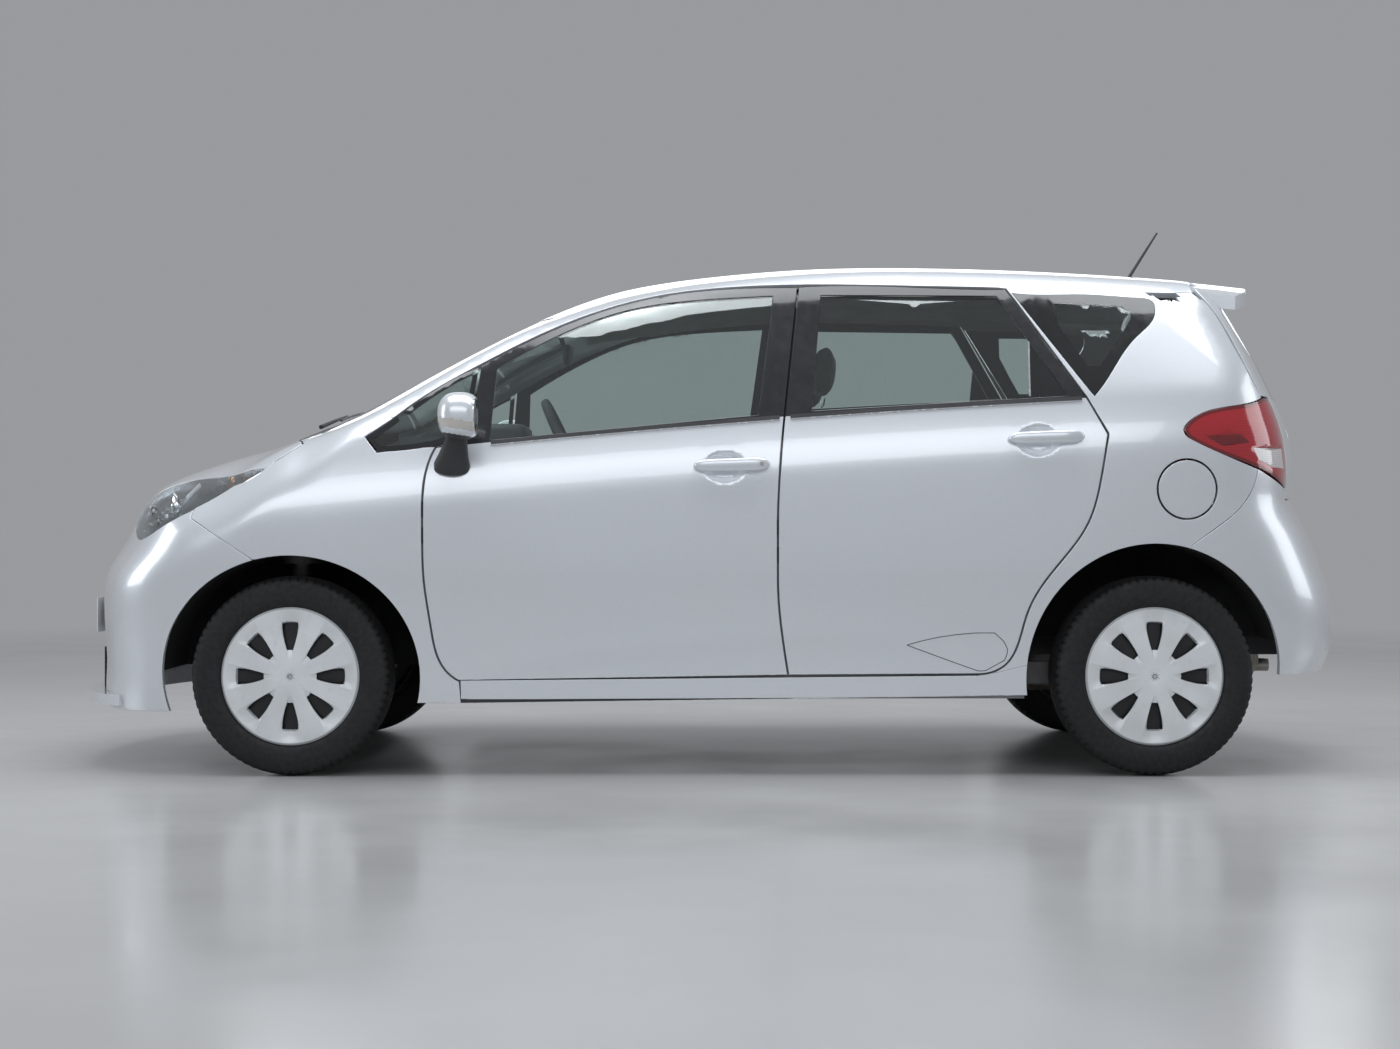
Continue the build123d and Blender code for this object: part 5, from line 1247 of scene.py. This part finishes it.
def bowl(middle, axis, radius, deep, which=0):
    """Round reflector, open along the axis, with a bulb cap in it."""
    axis = np.array(axis, float) / np.linalg.norm(axis)
    a = np.cross(axis, [0, 0, 1.0])
    a /= np.linalg.norm(a)
    b = np.cross(a, axis)
    profile = [(radius, 0), (radius * 1.06, 1), (radius * 1.06, -3), (radius * 0.97, -deep * 0.35),
               (radius * 0.72, -deep * 0.75), (radius * 0.34, -deep), (radius * 0.30, -deep * 0.45),
               (radius * 0.2, -deep * 0.22), (0.5, -deep * 0.16)]
    steps = 36
    points = [np.array(middle) + (math.cos(t) * a + math.sin(t) * b) * r + axis * h
              for t in np.linspace(0, 2 * math.pi, steps, endpoint=False) for r, h in profile]
    count = len(profile)
    faces = [[i * count + k, i * count + k + 1, (i + 1) % steps * count + k + 1, (i + 1) % steps * count + k]
             for i in range(steps) for k in range(count - 1)]
    return points, faces, [which] * len(faces)


def headlamps():
    lens = panel("headlamps", NOSE, 2.5, spacing=18, least=2000)
    solid("headlamp_lenses", *split(joined(lens, flipped(lens)), "lens"), slot="lamp_clear",
          hold=["headlamps"])
    lumps = [tray("headlamps", NOSE, 40)]
    # bowls with key 1 are painted dark as shade in the lamp's hollows
    for x, z, size, deep, key in ((-1716, 768, 34, 30, 1), (-1672, 742, 26, 26, 1), (-1640, 802, 40, 30, 2),
                                  (-1452, 876, 17, 16, 3)):
        flat = SIDE.place(np.array([[x, z]], float))
        into = inward(flat)[0]
        axis = -into * [1, 1, 0.4] + np.array([-0.35, 0, 0])
        points, faces, _ = bowl(flat[0] + into * 9, axis, size, deep)
        lumps.append((points, faces, [key] * len(faces)))
    points, faces, which = joined(*lumps)
    lump = (points, faces, which)
    piece = solid("headlamp_reflectors", *split(joined(lump, flipped(lump)), "silver", "lamp_bowl_shade", "chrome",
                                                "lamp_amber"), slot="lamp_clear", crisp=40)
    wall = piece.modifiers.new("wall", "SOLIDIFY")
    wall.thickness = 1.2 * MM
    wall.offset = -1
    bars = [strip([(-1562, 868), (-1574, 838), (-1590, 806), (-1612, 768)], 7, SIDE, 6, 5),
            strip([(-1700, 744), (-1640, 764), (-1606, 772)], 5, SIDE, 6, 5)]
    lump = joined(*bars)
    solid("headlamp_bars", *split(joined(lump, flipped(lump)), "plate"), slot="lamp_clear")


TAIL_REVERSE = [(1601, 970), (1710, 971), (1722, 911), (1670, 913), (1621, 935)]


def tail_lamps():
    """Red lens with a dark border, a clear reverse light low at the rear and a small red strip."""
    sheet = outer_sheets("tail_lamps", 0, -1)[0]
    rings = [TAIL.flat(evened(loop, 9)) for loop in sheet]
    border = inset_ring(rings[0], 10)
    clear = TAIL.flat(SIDE.place(np.array(TAIL_REVERSE, float)))
    amber = TAIL.flat(SIDE.place(np.array([(1455, 1003), (1560, 1010), (1592, 985), (1500, 975)], float)))
    shut = [np.concatenate([ring, ring[:1]]) for ring in (border, clear, amber)]
    flat, faces = filled(rings, 15, shut)
    middle = flat[faces].mean(axis=1)

    def inside(ring):
        return within(middle, np.stack([ring, np.roll(ring, -1, axis=0)], axis=1))

    key = np.where(inside(clear), 2, np.where(inside(border), np.where(inside(amber), 3, 0), 1))
    points, all_faces, _ = shell(flat, faces, TAIL, 30, rounding=1.5)
    main = [int(k) for k in key]
    lump = (points, all_faces, main + main + [1] * (len(all_faces) - 2 * len(faces)))
    solid("tail_lamp_lenses", *split(joined(lump, flipped(lump)), "lamp_red", "lamp_red_dark", "lamp_clear",
                                     "lamp_red_dark"), slot="lamp_red", hold=["tail_lamps"])


# ---------------------------------------------------------------- outside details
def stand_off(x, z, out):
    """A point out from the left side."""
    return [x, -float(half_width(x, z)) - out, z]


HANDLE_HALF = 112


def handles():
    """Flat rounded pulls over the cups; the front ones end in a lock."""
    for end, mid, z, lock in (("front", 58, 918, True), ("rear", 982, 999, False)):
        path, height = [], []
        for t in np.sin(np.linspace(-1, 1, 33) * math.pi / 2):
            rise = 3 * t
            path.append(stand_off(mid + HANDLE_HALF * t, z + rise, 27 - 18 * abs(t) ** 4))
            height.append(18.5 * max(1 - abs(t) ** 7, 0.02) ** 0.5 * (1 + 0.06 * t))
        points, faces, which = tube(path, 1.0, 20)
        points = np.array(points).reshape(len(path), 20, 3)
        for i, (middle, tall) in enumerate(zip(path, height)):
            away = points[i] - middle
            turn = np.arctan2(away[:, 2], away[:, 1])
            points[i, :, 0] = middle[0]
            points[i, :, 1] = middle[1] + np.sign(np.cos(turn)) * np.abs(np.cos(turn)) ** 0.8 * min(tall, 9.5)
            points[i, :, 2] = middle[2] + np.sign(np.sin(turn)) * np.abs(np.sin(turn)) ** 0.8 * tall
        lump = (points.reshape(-1, 3), faces, which)
        if lock:
            eye = tube([stand_off(mid + 88, z + 3, 20), stand_off(mid + 88, z + 3, 31.5)], [7, 6], 20, which=1)
            seam = tube([stand_off(mid + 70, z + h, 31.6 - (h / 18) ** 2 * 5) for h in range(-14, 21, 5)], 0.7, 6,
                        which=2)
            lump = joined(lump, eye, seam)
        for side, it in (("left", lump), ("right", flipped(lump))):
            solid(f"{end}_handle_{side}", *split(it, "paint", "chrome", "black"), body=f"{end}_door_{side}",
                  crisp=45)


def egg(middle, size, power, steps=(40, 24), flat_back=None):
    """Closed rounded body with superellipse sections."""
    u = np.linspace(0, 2 * math.pi, steps[0], endpoint=False)
    v = np.linspace(-math.pi / 2, math.pi / 2, steps[1])

    def f(t):
        return math.copysign(abs(t) ** power, t)

    points = []
    for b in v[1:-1]:
        for a in u:
            p = [f(math.cos(b)) * f(math.cos(a)), f(math.cos(b)) * f(math.sin(a)), f(math.sin(b))]
            if flat_back is not None and p[0] > flat_back:
                p[0] = flat_back + (p[0] - flat_back) * 0.15
            points.append([middle[i] + size[i] / 2 * p[i] for i in range(3)])
    rows = steps[1] - 2
    n = steps[0]
    points.append([middle[0], middle[1], middle[2] - size[2] / 2])
    points.append([middle[0], middle[1], middle[2] + size[2] / 2])
    faces = [[i * n + k, i * n + (k + 1) % n, (i + 1) * n + (k + 1) % n, (i + 1) * n + k]
             for i in range(rows - 1) for k in range(n)]
    faces += [[(k + 1) % n, k, rows * n] for k in range(n)]
    faces += [[(rows - 1) * n + k, (rows - 1) * n + (k + 1) % n, rows * n + 1] for k in range(n)]
    return np.array(points), faces, [0] * len(faces)


MIRROR = (-731, -925, 1058)


def mirrors():
    """Rounded housing with a clear turn light and a lower band, on a black foot."""
    points, faces, _ = egg(MIRROR, (132, 178, 138), 0.80, (72, 56), flat_back=0.70)
    which = []
    for face in faces:
        x, _, z = points[face].mean(axis=0) - MIRROR
        low = z + 0.16 * x
        which.append(1 if -40 < low < -14 else 2 if low < -56 else 0)
    head = (points, faces, which)
    plate, plate_faces, _ = egg((MIRROR[0] + 44, -925, 1060), (10, 150, 100), 0.6, (40, 16))
    glass = (plate, plate_faces, [3] * len(plate_faces))
    path = [(-766, -826, 905), (-764, -838, 920), (-757, -858, 948), (-750, -880, 975), (-744, -895, 1004)]
    points, faces, which = tube(path, [30, 33, 29, 26, 24], 24, which=2)
    points = np.array(points).reshape(len(path), 24, 3)
    for i, middle in enumerate(path):
        points[i, :, 0] = middle[0] + (points[i, :, 0] - middle[0]) * (1.75 - 0.12 * i)
    lump = joined(head, glass, (points.reshape(-1, 3), faces, which))
    for side, it in (("left", lump), ("right", flipped(lump))):
        solid(f"door_mirror_{side}", *split(it, "paint", "turn_light", "black_plastic", "mirror_glass"),
              body=f"front_door_{side}", crisp=50)


def mouldings():
    for end, x0, x1 in (("front", -652, 200), ("rear", 232, 1092)):
        line = [(x, belt_line(x) - 5) for x in np.linspace(x0, x1, 24)]
        low = [(x, z - 7.5) for x, z in line]
        lump = joined(strip(line, 12, SIDE, 4, -3.2), tag(strip(low, 3.4, SIDE, 4.5, -4.2), 1))
        for side, it in (("left", lump), ("right", flipped(lump))):
            solid(f"{end}_belt_moulding_{side}", *split(it, "black_plastic", "bright"),
                  body=f"{end}_door_{side}", slot="black_plastic")
    lump = tag(strip([(947, 1290), (943, 1205), (940, 1122)], 5, SIDE, 3, 1.5), 0)
    for side, it in (("left", lump), ("right", flipped(lump))):
        solid(f"glass_divider_{side}", *split(it, "bright"), body=f"rear_door_{side}", slot="trim_plastic")
    leaf = [(574, 388), (620, 401), (671, 412), (720, 419), (774, 424), (833, 424), (860, 398), (872, 373),
            (864, 344), (805, 311), (785, 311), (690, 345), (574, 388)]
    lump = strip(leaf, 2.2, SIDE, 0.4, -0.4, 12)
    for side, it in (("left", lump), ("right", flipped(lump))):
        solid(f"stone_guard_{side}", *split(it, "black_plastic"), body=f"rear_door_{side}", slot="black_plastic")


def tag(lump, key):
    return lump[0], lump[1], [key] * len(lump[1])


def wipers():
    lumps = []
    for y0, y1 in ((-430, -60), (90, 470)):
        ys = np.linspace(y0, y1, 14)
        flat = np.stack([np.interp(ys, [y0, y1], [-1190 + abs(y0) * 0.09, -1120]), ys], axis=-1)
        blade = TOP.place(flat)
        lumps.append(tube(blade + [0, 0, 6], 3.4, 8))
        arm = TOP.place(np.array([[-1212 + abs(y0 + 250) * 0.02, y0 - 40], [-1180, y0 + 60],
                                  [-1160, (y0 + y1) / 2]], float))
        lumps.append(tube(arm + [0, 0, 14], [7, 5.5, 4], 8))
    points, faces, which = joined(*lumps)
    solid("wipers", points, faces, ["black_plastic"], which, slot="black_plastic")
    ys = np.linspace(-20, 330, 12)
    flat = np.stack([ys, np.full(12, 1178.0)], axis=-1)
    blade = HATCH.place(flat * [800 / 560, 1])
    out = -inward(blade)
    hub = HATCH.place(np.array([[0.0, 1090.0]]))
    lump = joined(tube(blade + out * 6, 3.4, 8), tube([hub[0] - inward(hub)[0] * 2, hub[0] - inward(hub)[0] * 20],
                                                     [20, 15], 20),
                  tube([hub[0] - inward(hub)[0] * 16, blade[6] + out[6] * 13], [6, 4], 8))
    solid("rear_wiper", *split(lump, "black_plastic"), body="tailgate", slot="black_plastic")


def rear_details():
    """Handle strip over the plate and heater lines."""
    lump = patch([(-330, 1012), (330, 1012), (330, 1046), (-330, 1046)], HATCH, 10, -9, 20, rounding=3)
    solid("tailgate_handle", *split(lump, "paint"), body="tailgate")
    row = HATCH.place(np.stack([np.linspace(-700, 700, 30), np.full(30, 1150.0)], axis=-1))
    wire = tube(row + inward(row) * 5.2, 0.7, 5)
    x_step = (HATCH.place(np.array([[0.0, 1400.0]]))[0][0] - HATCH.place(np.array([[0.0, 1150.0]]))[0][0]) / 10
    repeated("heater_wires", wire, 10, (x_step, 0, 25), "bright", "tailgate")


def net_bars():
    """Upright bars of the lower air opening."""
    bar = tube([(-1912, -320, 232), (-1912, -320, 358)], 3.2, 6)
    repeated("intake_bars", bar, 33, (0, 20, 0), "black_plastic", "car_body")


# ---------------------------------------------------------------- cabin
def padding(lump, cap=14.0, voxel=11.0, channels=()):
    """Foam under cloth: the solid drawn in, blown up a little by cloth pressure, then its seams pressed in."""
    name, points, faces = lump
    points = np.asarray(points, float)
    middle = (points.min(axis=0) + points.max(axis=0)) / 2
    size = np.ptp(points, axis=0)
    points = middle + (points - middle) * (1 - 2 * 11 / np.maximum(size, 60))
    mesh = bpy.data.meshes.new(name)
    mesh.from_pydata((points * MM).tolist(), [], [list(map(int, f)) for f in faces])
    piece = bpy.data.objects.new(name, mesh)
    bpy.context.collection.objects.link(piece)
    even = piece.modifiers.new("even", "REMESH")
    even.mode = "VOXEL"
    even.voxel_size = voxel * MM
    soften(piece)
    piece.modifiers.clear()
    work = bmesh.new()
    work.from_mesh(piece.data)
    for _ in range(4):
        bmesh.ops.smooth_vert(work, verts=work.verts, factor=0.5, use_axis_x=True, use_axis_y=True,
                              use_axis_z=True)
    work.to_mesh(piece.data)
    work.free()
    start = np.array([v.co for v in piece.data.vertices])
    sim = piece.modifiers.new("cloth", "CLOTH")
    sim.settings.use_pressure = True
    sim.settings.uniform_pressure_force = 4
    sim.settings.effector_weights.gravity = 0
    sim.point_cache.frame_end = 20
    for step in range(1, 21):
        bpy.context.scene.frame_set(step)
    soften(piece)
    piece.modifiers.clear()
    bpy.context.scene.frame_set(1)
    moved = np.array([v.co for v in piece.data.vertices]) - start
    length = np.linalg.norm(moved, axis=1, keepdims=True)
    start = start + moved * np.minimum(1, cap * MM / np.maximum(length, 1e-9))
    normals = np.array([v.normal for v in piece.data.vertices])
    for axis, at, width, deep, facing in channels:
        near = np.exp(-((start[:, axis] / MM - at) / width) ** 2)
        start = start - normals * (near * deep * MM * (normals[:, facing[0]] * facing[1] > 0.3))[:, None]
    piece.data.vertices.foreach_set("co", start.ravel())
    piece.data.materials.append(M["cloth"])
    piece.data.polygons.foreach_set("use_smooth", np.ones(len(piece.data.polygons), bool))
    fine = piece.modifiers.new("fine", "SUBSURF")
    fine.levels = fine.render_levels = 1
    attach(piece, "car_body")
    return piece


def soften(piece):
    """The piece's modifiers made part of its mesh."""
    made = bpy.data.meshes.new_from_object(piece.evaluated_get(bpy.context.evaluated_depsgraph_get()))
    piece.data = made


def twin(piece, name, shift=None):
    """The same pad on the other side of the car."""
    mesh = piece.data.copy()
    points = np.array([v.co for v in mesh.vertices]) * [1, -1, 1]
    mesh.vertices.foreach_set("co", points.ravel())
    mesh.flip_normals()
    other = bpy.data.objects.new(name, mesh)
    bpy.context.collection.objects.link(other)
    fine = other.modifiers.new("fine", "SUBSURF")
    fine.levels = fine.render_levels = 1
    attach(other, "car_body")
    return other


def seats():
    """Front seats and rear bench: padded cloth on plain bases, with headrests on stalks."""
    front = loose_parts("front_seats")
    rear = loose_parts("rear_seat")

    def one(parts, test):
        return next((p, f) for p, f, _ in parts if test((p.min(axis=0) + p.max(axis=0)) / 2, np.ptp(p, axis=0)))

    cushion = one(front, lambda m, s: m[1] < 0 and 430 < m[2] < 560 and s[1] > 450)
    back = one(front, lambda m, s: m[1] < 0 and 600 < m[2] < 1000 and s[2] > 400)
    head = one(front, lambda m, s: m[1] < 0 and m[2] > 1150 and s[1] > 200)
    mid = -370
    tops = (2, 1)
    fronts = (0, -1)
    pads = [
        ("front_cushion_left", cushion, 0.7, 13, [(1, mid - 150, 8, 9, tops), (1, mid + 150, 8, 9, tops),
                                                  (0, -110, 8, 6, tops)]),
        ("front_back_left", back, 0.7, 12, [(1, mid - 140, 8, 9, fronts), (1, mid + 140, 8, 9, fronts),
                                            (2, 900, 8, 7, fronts)]),
        ("front_head_left", head, 0.8, 10, []),
    ]
    for name, (points, faces), fill, voxel, channels in pads:
        pad = padding((name, points, faces), voxel=voxel, channels=channels)
        twin(pad, name.replace("left", "right"))
        if "cushion" in name:
            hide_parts("front_seats")
    cushion = one(rear, lambda m, s: 430 < m[2] < 600 and s[1] > 900 and m[0] < 1150 and s[2] > 60)
    back = one(rear, lambda m, s: 600 < m[2] < 1000 and s[2] > 400)
    head = one(rear, lambda m, s: m[1] < 0 and m[2] > 1150 and s[1] > 200)
    seams = [(1, -170, 9, 9, tops), (1, 170, 9, 9, tops), (0, 900, 9, 6, tops)]
    pad = padding(("bench_cushion", *cushion), voxel=16, channels=seams)
    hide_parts("rear_seat")
    seams = [(1, -170, 9, 9, fronts), (1, 170, 9, 9, fronts), (2, 980, 9, 6, fronts)]
    padding(("bench_back", *back), voxel=16, channels=seams)
    twin(padding(("bench_head_left", *head), voxel=10), "bench_head_right")
    lumps = []
    for points, faces, _ in front + rear:
        size = np.ptp(points, axis=0)
        middle = (points.min(axis=0) + points.max(axis=0)) / 2
        is_stalk = size[1] < 30
        is_base = middle[2] < 435 and size[2] > 15
        if is_stalk or is_base:
            lumps.append((points, faces.tolist(), [1 if is_stalk else 0] * len(faces)))
    points, faces, which = joined(*lumps)
    solid("seat_bases", points, faces, ["trim", "chrome"], which, slot="trim_plastic")


def cabin():
    """Headliner, inside mirror, instrument hood and screen."""
    outline = [(-430, -480), (-200, -560), (400, -585), (1000, -585), (1380, -560), (1380, 560), (1000, 585),
               (400, 585), (-200, 560), (-430, 480)]
    solid("headliner", *split(patch(outline, TOP, 4, 32, 60), "liner"), slot="fabric")
    points, faces, which = egg((-470, 0, 1300), (26, 236, 62), 0.5, (32, 16))
    stalk = tube([(-500, 0, 1378), (-484, 0, 1330), (-474, 0, 1312)], 8, 10)
    solid("inside_mirror", *split(joined((points, faces, which), stalk), "trim"), slot="trim_plastic", crisp=50)
    hood = egg((-640, -370, 1010), (150, 330, 92), 0.45, (36, 18))
    screen = egg((-604, 0, 985), (60, 300, 120), 0.3, (28, 14))
    solid("instrument_hood", *split(joined(hood, tag(screen, 1)), "trim", "frit"), slot="trim_plastic", crisp=50)


# ---------------------------------------------------------------- lights and camera
FLOOR_FADE = (5.0, 10.5)


def studio():
    camera = bpy.data.cameras.new("camera")
    camera.lens = 61.0
    camera.sensor_width = 36.0
    camera.clip_end = 200
    view = bpy.data.objects.new("camera", camera)
    view.location = (-0.035, -7.8125, 0.743)
    view.rotation_euler = (math.radians(90), 0, 0)
    bpy.context.collection.objects.link(view)
    bpy.context.scene.camera = view

    for name, place, size, power, aim in (
            ("top", (0.0, -0.6, 4.6), (5.5, 3.2), 230, (0, 0, 0)),
            ("left", (-0.5, -5.6, 2.9), (6.5, 1.8), 88, (0, 0, 0.7)),
            ("right", (0.5, 5.6, 2.9), (6.5, 1.8), 60, (0, 0, 0.7)),
            ("front", (-6.2, -1.0, 2.4), (2.4, 3.0), 75, (0, 0, 0.7)),
            ("back", (6.2, -0.6, 2.4), (2.4, 3.0), 50, (0, 0, 0.7))):
        data = bpy.data.lights.new(name, "AREA")
        data.shape = "RECTANGLE"
        data.size, data.size_y = size
        data.energy = power
        data.color = (0.93, 0.965, 1.0)
        lamp = bpy.data.objects.new(name, data)
        lamp.location = place
        lamp.rotation_euler = (Vector(aim) - Vector(place)).to_track_quat("-Z", "Y").to_euler()
        bpy.context.collection.objects.link(lamp)

    world = bpy.data.worlds.new("studio")
    bpy.context.scene.world = world
    world.use_nodes = True
    sky = world.node_tree.nodes["Background"]
    sky.inputs[0].default_value = (0.60, 0.615, 0.64, 1)
    sky.inputs[1].default_value = 0.53
    bpy.context.scene.view_settings.view_transform = "Standard"

    mesh = bpy.data.meshes.new("floor")
    mesh.from_pydata([(-30, -30, 0), (30, -30, 0), (30, 30, 0), (-30, 30, 0)], [], [(0, 1, 2, 3)])
    finish = Finish("pale_floor")
    finish.set(Base_Color=finish.mix(finish.steps(finish.noise(0.7, 3), 0.3, 0.7, 0, 1), (0.44, 0.44, 0.44),
                                     (0.48, 0.48, 0.48)),
               Roughness=finish.steps(finish.noise(1.6, 4), 0.3, 0.7, 0.15, 0.25))
    across, along = finish.axis(0), finish.axis(1)
    away = finish.maths("SQRT", across * across + along * along)
    gone = finish.node("ShaderNodeBsdfTransparent", Color=(1, 1, 1, 1))
    both = finish.node("ShaderNodeMixShader", i0=finish.steps(away, *FLOOR_FADE, 0.0, 1.0),
                       i1=finish.shader.outputs[0], i2=gone)
    finish.links.new(both, finish.end.inputs[0])
    mesh.materials.append(finish.done())
    floor = bpy.data.objects.new("floor", mesh)
    bpy.context.collection.objects.link(floor)


CAD_FINISH = {
    # body sides take the dark grey painted shade of the inner body
    "underbody": "under", "body_side_left": "frame_metal", "body_side_right": "frame_metal",
    "front_bumper": "black_plastic", "cowl": "black_plastic", "grille": "black_plastic",
    "wheel_liners": "arch_liner_shaded", "engine": "aluminium", "front_suspension": "cast", "rear_axle": "cast",
    "exhaust": "exhaust", "dashboard": "trim", "front_seats": "cloth", "rear_seat": "cloth",
    "antenna": "black_plastic", "steering_wheel": "trim", "knuckle_left": "cast", "knuckle_right": "cast",
    "windscreen": "glass", "fixed_side_glass": "glass", "tailgate_glass": "glass", "headlamps": "lens",
    "tail_lamps": "lamp_red", "hood": "paint", "tailgate": "paint", "fuel_lid": "paint", "roof_panel": "paint",
    "fenders": "paint", "rear_bumper": "paint",
}


CAD_FINISH["underbody"] = "under"


def finish_cad():
    """Every carried-over CAD node gets its own finish."""
    for name, node in frame["nodes"].items():
        key = CAD_FINISH.get(name)
        if key is None:
            key = "glass" if "glass" in name else "tyre" if "tyre" in name else "cover" if "wheel" in name else "trim"
        node.data.materials.clear()
        node.data.materials.append(M[key])


make_materials()
studio()
finish_cad()
fixed_panels()
doors()
opening_panels()
windows()
wheels()
headlamps()
tail_lamps()
handles()
mirrors()
mouldings()
wipers()
rear_details()
net_bars()
seats()
cabin()
